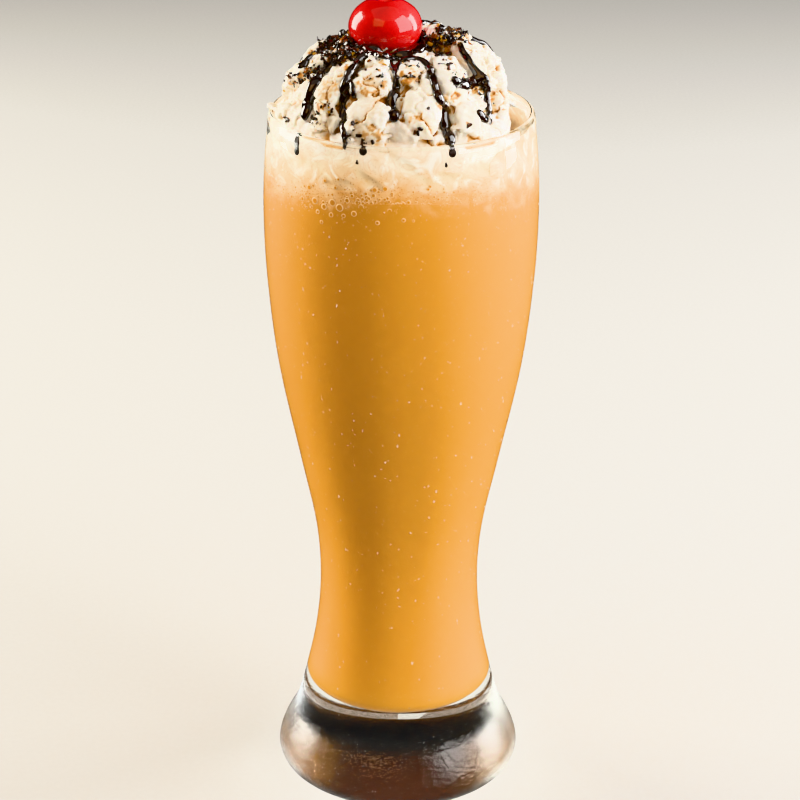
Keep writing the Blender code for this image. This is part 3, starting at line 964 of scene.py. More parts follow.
@dataclass
class Layers:
    """The drink and the foam, with their wavy surfaces. Both reach just into the wall."""

    glass: FootedGlass
    view: View
    into_wall: float = 0.15
    drink_level: float = 214.3
    drink_wave: float = 3.2
    foam_level: float = 218.8
    foam_wave: float = 2.2
    overlap: float = 0.1
    segments: int = 192
    film_start: float = 40.0
    film_end: float = 128.0
    film_top: float = 232.3
    film_sag: float = 5.0
    film_depth: float = 0.15
    film_hold: float = 0.12
    film_overlap: float = 4.0
    film_ragged: float = 1.5
    film_tone: float = 10.0

    def note_height(self, piece: bpy.types.Object) -> None:
        """Writes to each point of a piece how far it lies over the line of drink and foam.

        Args:
            piece: The finished piece.
        """
        points = coordinates(piece.data) / MM
        turn = 2 * np.arctan2(points[:, 0], points[:, 1])
        above = points[:, 2] - self.drink_level - self.drink_wave * np.cos(turn)
        piece.data.attributes.new("above", "FLOAT", "POINT").data.foreach_set("value", above)

    def wave(self, level: float, height: float, x: float, y: float) -> float:
        """The height of a surface that is highest at the front and back wall.

        Args:
            level: Its mean height.
            height: How much higher it stands at the front wall.
            x: The place across.
            y: The place in depth.

        Returns:
            The height in millimetres.
        """
        reach = math.hypot(x, y) / self.glass.inner(level)
        return level + height * reach**2 * math.cos(2 * math.atan2(x, y))

    def build_drink(self) -> bpy.types.Object:
        """Makes the drink.

        Returns:
            The piece.
        """
        glass = self.glass
        profile = glass.floor_corner(-self.into_wall)
        low = glass.floor + glass.floor_round - self.into_wall
        for height in evenly(low, self.drink_level, 60)[1:]:
            profile.append((glass.inner(height) + self.into_wall, height))
        edge = profile[-1][0]
        profile += [(edge * share, self.drink_level) for share in evenly(1.0, 0.0, 12)[1:]]
        body = turned(profile, self.segments)
        for vert in body.verts:
            if vert.co.z > self.drink_level - 0.01:
                vert.co.z = self.wave(self.drink_level, self.drink_wave, vert.co.x, vert.co.y)
        piece = joined(body, "mocha_drink", Stock.DRINK)
        self.note_height(piece)
        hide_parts("drink")
        return piece

    def build_foam(self) -> bpy.types.Object:
        """Makes the foam.

        Returns:
            The piece.
        """
        edge = self.glass.inner(self.drink_level) + self.into_wall
        low = [(edge * share, self.drink_level) for share in evenly(0.0, 1.0, 12)]
        side = [(edge, z) for z in evenly(self.drink_level, self.foam_level, 6)[1:-1]]
        high = [(edge * share, self.foam_level) for share in evenly(1.0, 0.0, 12)]
        body = turned(low + side + high, self.segments)
        span = self.foam_level - self.drink_level
        for vert in body.verts:
            share = (vert.co.z - self.drink_level) / span
            x, y = vert.co.x, vert.co.y
            bottom = self.wave(self.drink_level, self.drink_wave, x, y) - self.overlap
            top = self.wave(self.foam_level, self.foam_wave, x, y)
            vert.co.z = bottom + (top - bottom) * share
            radius = math.hypot(x, y)
            if radius > edge - 0.01:
                fitted = self.glass.inner(vert.co.z) + self.into_wall
                vert.co.x, vert.co.y = x * fitted / radius, y * fitted / radius
        piece = joined(body, "milk_foam", Stock.FOAM)
        self.note_height(piece)
        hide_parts("foam")
        return piece

    def build_film(self) -> bpy.types.Object:
        """Makes the thin foam that clings to the wall in the gap beside the cream.

        Returns:
            The piece.
        """
        body = bmesh.new()
        bmesh.ops.create_grid(body, x_segments=90, y_segments=30, size=0.5)
        bmesh.ops.solidify(body, geom=body.faces[:], thickness=0.001)
        low = self.foam_level - self.film_overlap
        for vert in body.verts:
            across, up = vert.co.x + 0.5, vert.co.y + 0.5
            turn = math.radians(self.film_start + (self.film_end - self.film_start) * across)
            ragged = noise.noise(Vector((9 * across, 3.0, 0.0)))
            sag = self.film_sag * (2 * across - 1) ** 4
            height = low + (self.film_top + self.film_ragged * ragged - sag - low) * up
            inside = abs(vert.co.z) > 0.0005
            radius = self.glass.inner(height) + (-self.film_depth if inside else self.film_hold)
            vert.co = outward(turn) * radius + Vector((0, 0, height))
        piece = joined(body, "clinging_foam", Stock.FOAM)
        self.note_height(piece)
        for entry in piece.data.attributes["above"].data:
            entry.value = min(entry.value, self.film_tone)
        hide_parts("foam")
        return piece


@dataclass(frozen=True)
class Lobe:
    """One piped lobe: its two ends on the dome, its half width, relief, narrowing and peak."""

    start: Place
    end: Place
    half_width: float
    relief: float
    narrowing: float
    peak: float


@dataclass
class Dome:
    """The dome that the cream, the syrup and the crumbs are laid out on."""

    centre: Vector = field(default_factory=lambda: Vector((-1.0, 0.0, 232.0)))
    radius: float = 35.2
    height: float = 24.0
    squareness: float = 0.87

    def at(self, azimuth: float, latitude: float) -> Spot:
        """A point of the dome with its outward direction.

        Args:
            azimuth: From the front towards +X, in degrees.
            latitude: From the foot upwards, in degrees.

        Returns:
            The point in millimetres and the unit direction.
        """
        turn, lift = math.radians(azimuth), math.radians(min(latitude, 89.5))
        level, rise = math.cos(lift), abs(math.sin(lift))
        sign = 1 if lift >= 0 else -1
        out = self.radius * level**self.squareness
        up = sign * self.height * rise**self.squareness
        point = self.centre + Vector((out * math.sin(turn), -out * math.cos(turn), up))
        side = level ** (2 - self.squareness) / self.radius
        top = sign * rise ** (2 - self.squareness) / self.height
        normal = Vector((side * math.sin(turn), -side * math.cos(turn), top))
        return point, normal.normalized()


@dataclass
class Surface:
    """A surface made of finished pieces, which finds where a thing laid on it lies."""

    pieces: tuple[bpy.types.Object, ...]
    dome: Dome
    view: View
    start: float = 20.0

    def __post_init__(self) -> None:
        """Reads the pieces' faces once."""
        body = bmesh.new()
        for piece in self.pieces:
            body.from_mesh(piece.data)
        self.tree = BVHTree.FromBMesh(body)
        body.free()

    def along(self, origin: Vector, direction: Vector) -> Spot | None:
        """The first point that a ray meets, in millimetres.

        Args:
            origin: Where the ray starts.
            direction: Which way it goes.

        Returns:
            The point and the surface's direction there, or nothing.
        """
        point, normal, _, _ = self.tree.ray_cast(origin * MM, direction)
        return (point / MM, normal) if point else None

    def at(self, azimuth: float, latitude: float) -> Spot:
        """The outermost point of the cream over a place on the dome.

        Args:
            azimuth: From the front, in degrees.
            latitude: From the foot, in degrees.

        Returns:
            The point and its outward direction.
        """
        point, normal = self.dome.at(azimuth, latitude)
        return self.along(point + normal * self.start, -normal) or (point, normal)

    def seen(self, across: float, down: float) -> Spot | None:
        """The point that the photographed view shows at a place in its frame.

        Args:
            across: From the frame's left edge.
            down: From its top edge.

        Returns:
            The point and its outward direction, or nothing.
        """
        return self.along(self.view.eye / MM, self.view.way(across, down))


@dataclass
class Cream:
    """The whipped cream: a plug in the glass, a dome over it, and piped lobes on the dome."""

    glass: FootedGlass
    layers: Layers
    dome: Dome
    view: View
    front_lobes: tuple[Lobe, ...] = (
        Lobe((-47, 9), (-94, 4), 7.2, 3.2, 0.85, 4.2),
        Lobe((-102, 22), (-72, 54), 6.6, 3.4, 0.2, 0.5),
        Lobe((-64, 18), (-60, 42), 5.6, 3.0, 0.3, 0.0),
        Lobe((-42, 15), (-40, 56), 5.2, 3.6, 0.5, 0.8),
        Lobe((-50, -6), (-32, 22), 5.4, 3.2, 0.3, 0.0),
        Lobe((-22, 30), (-10, 53), 6.6, 4.0, 0.2, 0.0),
        Lobe((-18, 53), (-21, 68), 3.4, 3.6, 0.2, 0.0),
        Lobe((-17, -6), (-13, 32), 8.0, 4.0, 0.1, 0.0),
        Lobe((-6, 20), (13, -3), 4.6, 3.6, 0.5, 0.0),
        Lobe((8, 7), (17, 47), 6.4, 4.2, 0.2, 0.0),
        Lobe((-1, 46), (22, 53), 4.0, 3.6, 0.2, 0.0),
        Lobe((29, 24), (42, 64), 6.4, 4.2, 0.4, 0.0),
        Lobe((35, -8), (38, 30), 7.0, 4.0, 0.2, 0.0),
        Lobe((72, -6), (76, 32), 8.4, 2.8, 0.2, 0.0),
        Lobe((68, 26), (92, 64), 8.6, 4.6, 0.1, 1.0),
        Lobe((96, 54), (112, 80), 7.0, 5.0, 0.2, 1.0),
    )
    back_tiers: tuple[tuple[Place, float, float, int], ...] = (
        ((-2, 34), 102, 246, 7),
        ((28, 58), 122, 242, 5),
    )
    crown_tier: tuple[Place, float, float, int] = ((56, 78), 142, 308, 5)
    sweep: float = 14.0
    back_width: float = 8.2
    back_relief: float = 3.8
    crown_size: float = 0.75
    seed: int = 3
    lobe_squareness: float = 0.52
    plug_top: float = 234.2
    plug_overlap: float = 2.0
    shoulder_radius: float = 33.0
    shoulder_height: float = 238.0
    free_side_start: float = 30.0
    free_side_limit: float = 34.4
    free_height: float = 233.0
    lowest_latitude: float = -12.0
    seam_height: float = 224.0
    seam_gap: float = 0.02
    voxel: float = 0.515
    into_wall: float = 0.15
    rim_gap: float = 0.15
    broad_rounds: int = 24
    narrow_rounds: int = 16
    crease_gain: float = 1.1
    lump_size: float = 5.0
    ridge_size: float = 2.2
    patch_size: float = 8.0
    grain_sizes: Place = (1.5, 0.8)
    fold_size: float = 9.0
    fold_depth: float = 0.9
    fold_height: float = 219.5
    stain_and_shade_size: float = 6.0
    stain_and_shade_grain: float = 0.9
    flake_size: float = 11.0
    flake_tilt: float = 4.4
    crack_depth: float = 0.7
    crack_width: float = 0.12
    # Places in the view made amber, as syrup stain and painted shade: the wide faint spots paint
    # shade on the front-left faces away from the key lamp.
    amber_and_shade_spots: tuple[tuple[float, float, float, float], ...] = (
        (330, 88, 13, 0.3), (325, 98, 10, 0.3), (374, 108, 14, 0.14), (276, 104, 13, 0.16),
        (320, 126, 14, 0.14),
        (362, 132, 14, 0.16), (405, 132, 12, 0.1), (290, 116, 12, 0.14), (372, 84, 11, 0.2),
        (405, 82, 6, 0.6), (411, 80, 5, 0.6), (418, 118, 5, 0.55), (411, 120, 4, 0.5),
        (458, 94, 4, 0.7), (454, 98, 4, 0.5), (468, 137, 4, 0.5), (468, 124, 2.5, 0.9),
        (372, 128, 5, 0.45), (378, 136, 6, 0.5), (364, 134, 5, 0.4), (358, 122, 4, 0.5),
        (346, 68, 5, 0.7), (340, 76, 4, 0.6), (334, 84, 4, 0.5), (349, 72, 4, 0.7),
        (358, 84, 5, 0.5), (366, 92, 6, 0.55), (376, 92, 5, 0.5), (384, 84, 4, 0.5),
        (370, 80, 4, 0.4), (320, 108, 5, 0.6), (314, 118, 4, 0.5), (338, 105, 5, 0.6),
        (345, 108, 4, 0.7), (290, 82, 5, 0.5), (280, 88, 4, 0.6), (300, 76, 5, 0.5),
        (330, 60, 6, 0.7), (340, 50, 8, 0.8), (335, 40, 7, 0.6), (352, 56, 6, 0.8),
        (452, 36, 9, 0.7), (436, 44, 7, 0.6), (466, 36, 5, 0.6), (444, 30, 5, 0.5),
        (410, 66, 5, 0.4), (402, 74, 4, 0.5), (415, 76, 6, 0.5), (462, 78, 8, 0.8),
        (484, 92, 4, 0.7), (476, 90, 6, 0.6), (446, 98, 5, 0.5), (440, 106, 4, 0.6),
        (434, 90, 3, 0.5), (312, 104, 4, 0.4), (350, 104, 4, 0.4), (382, 62, 4, 0.4),
    )

    def back_lobes(self) -> list[Lobe]:
        """Lobes by rule where the front doesn't show them, uneven by a seeded draw.

        Returns:
            The lobes.
        """
        draw = random.Random(self.seed)
        lobes = []
        for latitudes, first, last, count in (*self.back_tiers, self.crown_tier):
            crown = self.crown_size if latitudes == self.crown_tier[0] else 1.0
            for azimuth in evenly(first, last, count - 1):
                shift = draw.uniform(-4, 4)
                size = draw.uniform(0.9, 1.15)
                low, high = latitudes
                start = (azimuth + shift, low + draw.uniform(-2, 2))
                end = (azimuth + shift + self.sweep, high + draw.uniform(-3, 3))
                width = self.back_width * size * crown
                lobes.append(Lobe(start, end, width, self.back_relief * size * crown, 0.3, 0.5))
        return lobes

    def add_lobe(self, body: bmesh.types.BMesh, ball: bpy.types.Mesh, lobe: Lobe) -> None:
        """Adds a rounded pillow that follows the dome from its start to its end.

        Args:
            body: The mesh that grows.
            ball: A ball of radius 1, which it is shaped from.
            lobe: Its sizes.
        """
        pillow = bmesh.new()
        pillow.from_mesh(ball)
        along = self.dome.at(*lobe.end)[0] - self.dome.at(*lobe.start)[0]
        for vert in pillow.verts:
            across, out = (
                math.copysign(abs(value) ** self.lobe_squareness, value) for value in vert.co.xy
            )
            share = (vert.co.z + 1) / 2
            place = [low + (high - low) * share for low, high in zip(lobe.start, lobe.end)]
            point, normal = self.dome.at(*place)
            side = along.cross(normal).normalized()
            width = lobe.half_width * across * (1 - lobe.narrowing * share)
            lift = lobe.relief * out - width**2 / (2 * self.dome.radius) + lobe.peak * share**2
            vert.co = point + side * width + normal * lift
        add_copy(body, mesh_of(pillow, "pillow"), Matrix())

    def add_plug(self, body: bmesh.types.BMesh) -> None:
        """Adds the cream inside the glass.

        Args:
            body: The mesh that it joins.
        """
        layers = self.layers
        edge = self.glass.inner(layers.foam_level) + self.into_wall
        low = [(edge * share, layers.foam_level) for share in evenly(0.0, 1.0, 10)]
        heights = evenly(layers.foam_level, self.plug_top, 8)[1:]
        sides = [(self.glass.inner(height) + self.into_wall, height) for height in heights]
        cap = [(self.shoulder_radius, self.shoulder_height), (0.0, self.shoulder_height)]
        plug = turned(low + sides + cap, 96)
        for vert in plug.verts:
            if vert.co.z < layers.foam_level + 0.01:
                top = layers.wave(layers.foam_level, layers.foam_wave, vert.co.x, vert.co.y)
                vert.co.z = top - self.plug_overlap
        add_copy(body, mesh_of(plug, "plug"), Matrix())

    def add_dome(self, body: bmesh.types.BMesh) -> None:
        """Adds the smooth dome under the lobes.

        Args:
            body: The mesh that it joins.
        """
        base = bmesh.new()
        bmesh.ops.create_uvsphere(base, u_segments=64, v_segments=40, radius=1.0)
        for vert in base.verts:
            azimuth = math.degrees(math.atan2(vert.co.x, -vert.co.y))
            latitude = math.degrees(math.asin(max(-1.0, min(1.0, vert.co.z))))
            vert.co = self.dome.at(azimuth, max(latitude, self.lowest_latitude))[0]
        add_copy(body, mesh_of(base, "base"), Matrix())

    def keep_side_free(self, points: np.ndarray) -> np.ndarray:
        """Draws the cream in on the right, where the glass has a free gap beside it.

        Args:
            points: The cream's points.

        Returns:
            The points that keep clear of the gap.
        """
        reach = self.free_side_limit - self.free_side_start
        excess = np.maximum(points[:, 0] - self.free_side_start, 0.0)
        points[:, 0] -= excess - reach * (1 - np.exp(-excess / reach))
        return points

    def fit_wall(self, points: np.ndarray) -> np.ndarray:
        """Holds the cream inside the glass, just into its wall, and clear of the rim.

        Args:
            points: The cream's points.

        Returns:
            The points within the glass.
        """
        heights, radii = self.glass.inner_wall(self.into_wall)
        radii -= self.seam_gap * np.clip((self.seam_height - heights) / 4.0, 0.0, 1.0)
        rim = self.glass.height - self.glass.wall / 2
        limit = np.interp(points[:, 2], heights, radii)
        near_rim = points[:, 2] > rim - 1.0
        limit[near_rim] -= self.into_wall + self.rim_gap
        limit[points[:, 2] > self.glass.height + self.rim_gap] = NO_LIMIT
        radius = np.hypot(points[:, 0], points[:, 1])
        scale = np.minimum(1.0, limit / np.maximum(radius, 1e-6))
        points[:, 0] *= scale
        points[:, 1] *= scale
        return points

    def torn(self, points: np.ndarray, normals: np.ndarray, deep: np.ndarray) -> np.ndarray:
        """Gives the cream deeper creases, soft lumps and small torn ridges, and folds at the wall.

        Args:
            points: The cream's points.
            normals: Their outward directions.
            deep: How far each lies under the smoothed cream.

        Returns:
            The moved points.
        """
        moved = np.empty(len(points))
        folds = np.empty(len(points))
        for index, point in enumerate(points):
            place = Vector(point)
            lump = noise.noise(place / self.lump_size)
            ridge = 1.0 - abs(noise.noise(place / self.ridge_size + Vector((7, 0, 0)))) * 2.0
            patch = max(0.0, noise.noise(place / self.patch_size + Vector((0, 9, 0))) + 0.2)
            grain, fine_grain = (noise.noise(place / size) for size in self.grain_sizes)
            fine = grain + 0.4 * fine_grain
            moved[index] = 0.2 * lump + 0.9 * patch * (ridge - 0.55) + 0.22 * fine
            moved[index] += self.flake(place)
            slant = place + Vector((0.0, 0.0, 0.5 * place.x))
            folds[index] = noise.noise(Vector((slant.x, slant.y, 1.6 * slant.z)) / self.fold_size)
        free = np.clip((points[:, 2] - self.free_height) / 3.0, 0.0, 1.0)
        sink = -np.clip(folds - 0.02, 0.0, 0.4) * self.fold_depth / 0.4
        inside = np.clip((points[:, 2] - self.fold_height) / 4.0, 0.0, 1.0) * (1 - free)
        offset = (moved - self.crease_gain * deep) * free + sink * inside
        return points + normals * offset[:, None]

    def flake(self, place: Vector) -> float:
        """How far a place is raised by the flake that it is in, or sunk in the crack beside it.

        Args:
            place: The place in millimetres.

        Returns:
            The distance in millimetres.
        """
        bent = place / self.flake_size + 0.2 * drift(place / 3.0)
        away, cells = noise.voronoi(bent)
        tilt = drift(cells[0] * 5.3) * self.flake_tilt
        crack = max(0.0, 1.0 - (away[1] - away[0]) / self.crack_width)
        return (bent - cells[0]).dot(tilt) - self.crack_depth * crack

    def stains_and_painted_shade(self, mesh: bpy.types.Mesh, points: np.ndarray, deep: np.ndarray) -> np.ndarray:
        """How amber each point is, as syrup stain and painted shade: painted shade in the creases,
        in patches, and stain and shade where the view shows it.

        Args:
            mesh: The cream's mesh.
            points: Its points.
            deep: How far each lies under the smoothed cream.

        Returns:
            A share from 0 to 1 for each point.
        """
        patch, grain = (
            np.array([noise.noise(Vector(point) / size) for point in points])
            for size in (self.stain_and_shade_size, self.stain_and_shade_grain)
        )
        # Painted shade: the deeper a point lies in a crease, the more amber it is made.
        stain = np.clip((deep - 0.09) * 2.0, 0, 0.9) * np.clip(0.6 + 2.4 * patch, 0, 1)
        cream = Surface((self.plain_piece(mesh),), self.dome, self.view)
        for across, down, wide, strength in self.amber_and_shade_spots:
            found = cream.seen(across, down)
            if found:
                reach = self.view.millimetres(wide, found[0])
                away = np.linalg.norm(points - np.array(found[0]), axis=1) / reach
                near = np.clip(2.0 * (1.0 - away + 0.9 * grain), 0, 1)
                stain = np.maximum(stain, strength * near)
        bpy.data.objects.remove(cream.pieces[0])
        return np.clip(stain * (1 + 0.5 * grain), 0, 1)

    def plain_piece(self, mesh: bpy.types.Mesh) -> bpy.types.Object:
        """A passing copy of the cream, which the view's lines of sight are cast on.

        Args:
            mesh: The cream's mesh in millimetres.

        Returns:
            The copy in metres, which is in no scene.
        """
        copy = mesh.copy()
        copy.transform(Matrix.Scale(MM, 4))
        return bpy.data.objects.new("plain_cream", copy)

    def build(self) -> bpy.types.Object:
        """Makes the cream as one skin.

        Returns:
            The piece.
        """
        ball = bmesh.new()
        bmesh.ops.create_uvsphere(ball, u_segments=40, v_segments=28, radius=1.0)
        shape = mesh_of(ball, "ball")
        body = bmesh.new()
        self.add_plug(body)
        self.add_dome(body)
        for lobe in (*self.front_lobes, *self.back_lobes()):
            self.add_lobe(body, shape, lobe)
        bmesh.ops.recalc_face_normals(body, faces=body.faces)
        mesh = voxel_skin(body, self.voxel)
        points = relaxed(mesh, self.keep_side_free(coordinates(mesh)), 1)
        normals = normals_of(mesh, points)
        deep = ((relaxed(mesh, points, self.broad_rounds) - points) * normals).sum(axis=1)
        points = self.fit_wall(self.torn(points, normals, deep))
        normals = normals_of(mesh, points)
        deep = ((relaxed(mesh, points, self.narrow_rounds) - points) * normals).sum(axis=1)
        stain = mesh.attributes.new("stain", "FLOAT", "POINT")
        stain.data.foreach_set("value", self.stains_and_painted_shade(mesh, points, deep))
        piece = joined(taken(mesh), "whipped_cream_lobes", Stock.CREAM)
        self.layers.note_height(piece)
        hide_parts("whipped_cream")
        return piece


@dataclass(frozen=True)
class Run:
    """A run of syrup, by the places that it passes: across, down and how wide, in the view."""

    places: tuple[tuple[float, float, float], ...]


@dataclass(frozen=True)
class BackRun:
    """A run of syrup on a side that the view doesn't show: places on the dome and two radii."""

    places: tuple[Place, ...]
    first: float
    last: float


@dataclass
class Syrup:
    """The chocolate syrup: thick glossy runs down the cream and a pool round the cherry."""

    surface: Surface
    glass: FootedGlass
    cherry_centre: Vector
    runs: tuple[Run, ...] = (
        Run(
            (
                (354, 50, 6), (340, 58, 8), (330, 67, 9), (321, 76, 10.5), (314.5, 85, 12),
                (312, 94, 12.5), (309, 104, 12), (306, 113, 10.5), (305, 117, 8),
            )
        ),
        Run(
            (
                (365, 47, 8), (362, 57, 9), (356, 66, 10.5), (349, 76, 12), (345, 86, 14),
                (344, 96, 12), (343, 103, 7), (343, 114, 8.5), (343, 126, 8), (345, 138, 6.5),
                (346, 148, 4),
            )
        ),
        Run(((350, 80, 5), (353, 88, 6), (354, 97, 5))),
        Run(
            (
                (393, 54, 5), (391, 64, 4.5), (395.5, 75, 5.5), (397, 84, 8.5), (394.5, 95, 11),
                (392.5, 107, 14), (394, 117, 11),
            )
        ),
        Run(
            (
                (396.5, 73, 4), (398.5, 64, 5), (408, 59, 5.5), (420, 59.5, 6.5), (428, 66, 7.5),
                (432, 75, 8), (435, 86, 8.5), (438.5, 97, 9.5), (443, 107, 10.5), (444, 118, 10),
                (446, 130, 12), (449.5, 138, 12), (450.5, 145, 8),
            )
        ),
        Run(
            (
                (460, 44, 5.5), (463, 52, 6.5), (468, 59, 7), (473, 67, 7.5), (478, 74, 8.5),
                (484, 80, 9), (487, 88, 7.5), (486.5, 98, 6.5), (489, 109, 7.5), (488.5, 122, 8),
            )
        ),
        Run(((454, 79, 7), (459, 84, 10), (467, 85, 12), (475, 82, 13), (484, 79, 11))),
        Run(((479, 112, 7), (482, 118, 10), (487, 121, 10))),
        Run(((438, 48, 5), (439, 56, 6.5))),
        Run(((447, 39, 5), (449, 44, 5))),
    )
    pool: Run = Run(
        (
            (350, 42, 7), (357, 49, 9), (365, 53, 10), (374, 55, 8), (384, 56, 8), (394, 57, 9),
            (404, 55, 10), (414, 51, 10), (422, 45, 9), (432, 42, 8), (443, 38, 6), (455, 37, 4),
        )
    )
    back_runs: tuple[BackRun, ...] = (
        BackRun(((124, 74), (126, 60), (120, 44), (124, 28)), 1.2, 1.9),
        BackRun(((150, 74), (146, 58), (156, 40), (152, 22), (155, 8)), 1.3, 1.8),
        BackRun(((196, 76), (190, 60), (198, 44), (194, 32)), 1.2, 2.1),
        BackRun(((232, 74), (240, 56), (234, 40), (242, 22), (238, 12)), 1.3, 1.8),
        BackRun(((278, 72), (272, 54), (280, 38)), 1.2, 1.9),
    )
    wall_drips: tuple[tuple[float, float, float, float], ...] = (
        (-51.0, 232.9, 231.6, 1.5),
        (-50.5, 231.2, 228.9, 1.35),
        (-19.0, 230.2, 229.4, 0.7),
        (-16.5, 233.4, 232.9, 1.3),
        (19.0, 229.6, 228.6, 0.8),
        (22.0, 233.4, 232.2, 1.4),
    )
    step: float = 0.45
    back_step: float = 0.8
    longest_gap: float = 8.0
    smoothing: int = 5
    flatness: float = 0.66
    fullness: float = 1.2
    lift: float = 0.15
    into_wall: float = 0.24
    ring_radius: float = 12.2
    ring_thickness: float = 1.7
    voxel: float = 0.3
    bead: bpy.types.Mesh = field(init=False)

    def __post_init__(self) -> None:
        """Makes the bead that every run is built from."""
        body = bmesh.new()
        bmesh.ops.create_icosphere(body, subdivisions=2, radius=1.0)
        self.bead = mesh_of(body, "bead")

    def curve(self, places: Sequence[Sequence[float]], step: float) -> list[Vector]:
        """Values on a smooth curve through the given ones.

        Args:
            places: Three values for each place, the first two being where it is.
            step: How far apart the values are.

        Returns:
            The values.
        """
        points = []
        for index in range(len(places) - 1):
            before = Vector(places[max(index - 1, 0)])
            low, high = Vector(places[index]), Vector(places[index + 1])
            after = Vector(places[min(index + 2, len(places) - 1)])
            for t in evenly(0.0, 1.0, max(1, round((high - low).length / step)))[:-1]:
                bend = (high - before) * (t**3 - 2 * t**2 + t) / 2
                bend += (after - low) * (t**3 - t**2) / 2
                points.append(low * (2 * t**3 - 3 * t**2 + 1) + high * (3 * t**2 - 2 * t**3) + bend)
        return points + [Vector(places[-1])]

    def add_beads(
        self, body: bmesh.types.BMesh, laid: list[tuple[Vector, Vector, float]]
    ) -> None:
        """Adds flattened beads along a run, near enough to melt into one.

        Args:
            body: The mesh that grows.
            laid: A point, an outward direction and a radius for each.
        """
        for index, (point, _, radius) in enumerate(laid):
            near = laid[max(index - 2, 0) : index + 3]
            middle = sum((entry[0] for entry in near), Vector()) / len(near)
            way = sum((entry[1] for entry in near), Vector()).normalized()
            centre = point.lerp(middle, 0.7) + way * self.lift
            size = radius * (1 + 0.1 * noise.noise(point / 2.5))
            shape = standing(centre, way) @ Matrix.Diagonal((size, size, size * self.flatness, 1))
            add_copy(body, self.bead, shape)

    def add_run(self, body: bmesh.types.BMesh, run: Run) -> None:
        """Adds a run where the view shows it.

        Args:
            body: The mesh that grows.
            run: Its places.
        """
        view = self.surface.view
        laid: list[tuple[Vector, Vector, float]] = []
        for across, down, wide in self.curve(run.places, 3 * self.step):
            found = self.surface.seen(across, down)
            if not found:
                continue
            point, normal = found
            radius = view.millimetres(wide, point) / 2 * self.fullness
            if laid:
                gap = (point - laid[-1][0]).length
                for share in evenly(0.0, 1.0, max(1, int(gap / self.step)))[1:-1]:
                    between = laid[-1][0].lerp(point, share)
                    if gap < self.longest_gap:
                        laid.append((between, normal, radius))
            laid.append((point, normal, radius))
        self.add_beads(body, laid)

    def add_back_run(self, body: bmesh.types.BMesh, run: BackRun) -> None:
        """Adds a run by rule on a side that the view doesn't show.

        Args:
            body: The mesh that grows.
            run: Its places and radii.
        """
        route = self.curve([(*place, 0.0) for place in run.places], self.back_step)
        laid = []
        for index, place in enumerate(route):
            share = index / (len(route) - 1)
            radius = run.first + (run.last - run.first) * share
            laid.append((*self.surface.at(place.x, place.y), radius))
        self.add_beads(body, laid)

    def add_ring(self, body: bmesh.types.BMesh) -> None:
        """Adds the ring of syrup in which the cherry sits.

        Args:
            body: The mesh that grows.
        """
        laid = []
        for turn in evenly(0.0, 2 * math.pi, 150)[:-1]:
            around = outward(turn)
            reach = self.ring_radius * (1 + 0.1 * noise.noise(around * 2 + Vector((0, 0, 5))))
            start = self.cherry_centre + around * reach + Vector((0, 0, 30))
            found = self.surface.along(start, Vector((0, 0, -1)))
            if found:
                swell = 1 + 0.3 * noise.noise(around * 3)
                laid.append((*found, self.ring_thickness * swell))
        self.add_beads(body, laid)

    def add_wall_drips(self, body: bmesh.types.BMesh) -> None:
        """Adds the drips that show through the glass, just under the rim.

        Args:
            body: The mesh that grows.
        """
        for azimuth, top, bottom, radius in self.wall_drips:
            out = outward(math.radians(azimuth))
            for share in evenly(0.0, 1.0, max(2, int((top - bottom) / 0.4))):
                height = top + (bottom - top) * share
                size = radius * (0.75 + 0.35 * share)
                centre = out * (self.glass.inner(height) + 0.05) + Vector((0, 0, height))
                shape = standing(centre, out) @ Matrix.Diagonal((size, size, size * 0.4, 1))
                add_copy(body, self.bead, shape)

    def build(self) -> bpy.types.Object:
        """Makes all the syrup as one skin.

        Returns:
            The piece.
        """
        body = bmesh.new()
        for run in (*self.runs, self.pool):
            self.add_run(body, run)
        for back_run in self.back_runs:
            self.add_back_run(body, back_run)
        self.add_ring(body)
        self.add_wall_drips(body)
        mesh = voxel_skin(body, self.voxel)
        points = relaxed(mesh, coordinates(mesh), self.smoothing)
        heights, radii = self.glass.inner_wall(self.into_wall)
        radius = np.hypot(points[:, 0], points[:, 1])
        limit = np.interp(points[:, 2], heights, radii, right=NO_LIMIT)
        points[:, :2] *= np.minimum(1.0, limit / np.maximum(radius, 1e-6))[:, None]
        normals_of(mesh, points)
        piece = joined(taken(mesh), "chocolate_syrup_runs", Stock.SYRUP)
        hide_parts("whipped_cream")
        return piece


@dataclass(frozen=True)
class Cluster:
    """Where crumbs lie in the view: a place, how far they spread, how many, size and curl share."""

    place: Place
    spread: Place
    count: int
    size: float
    curled: float = 0.1
    gold: float = 0.04


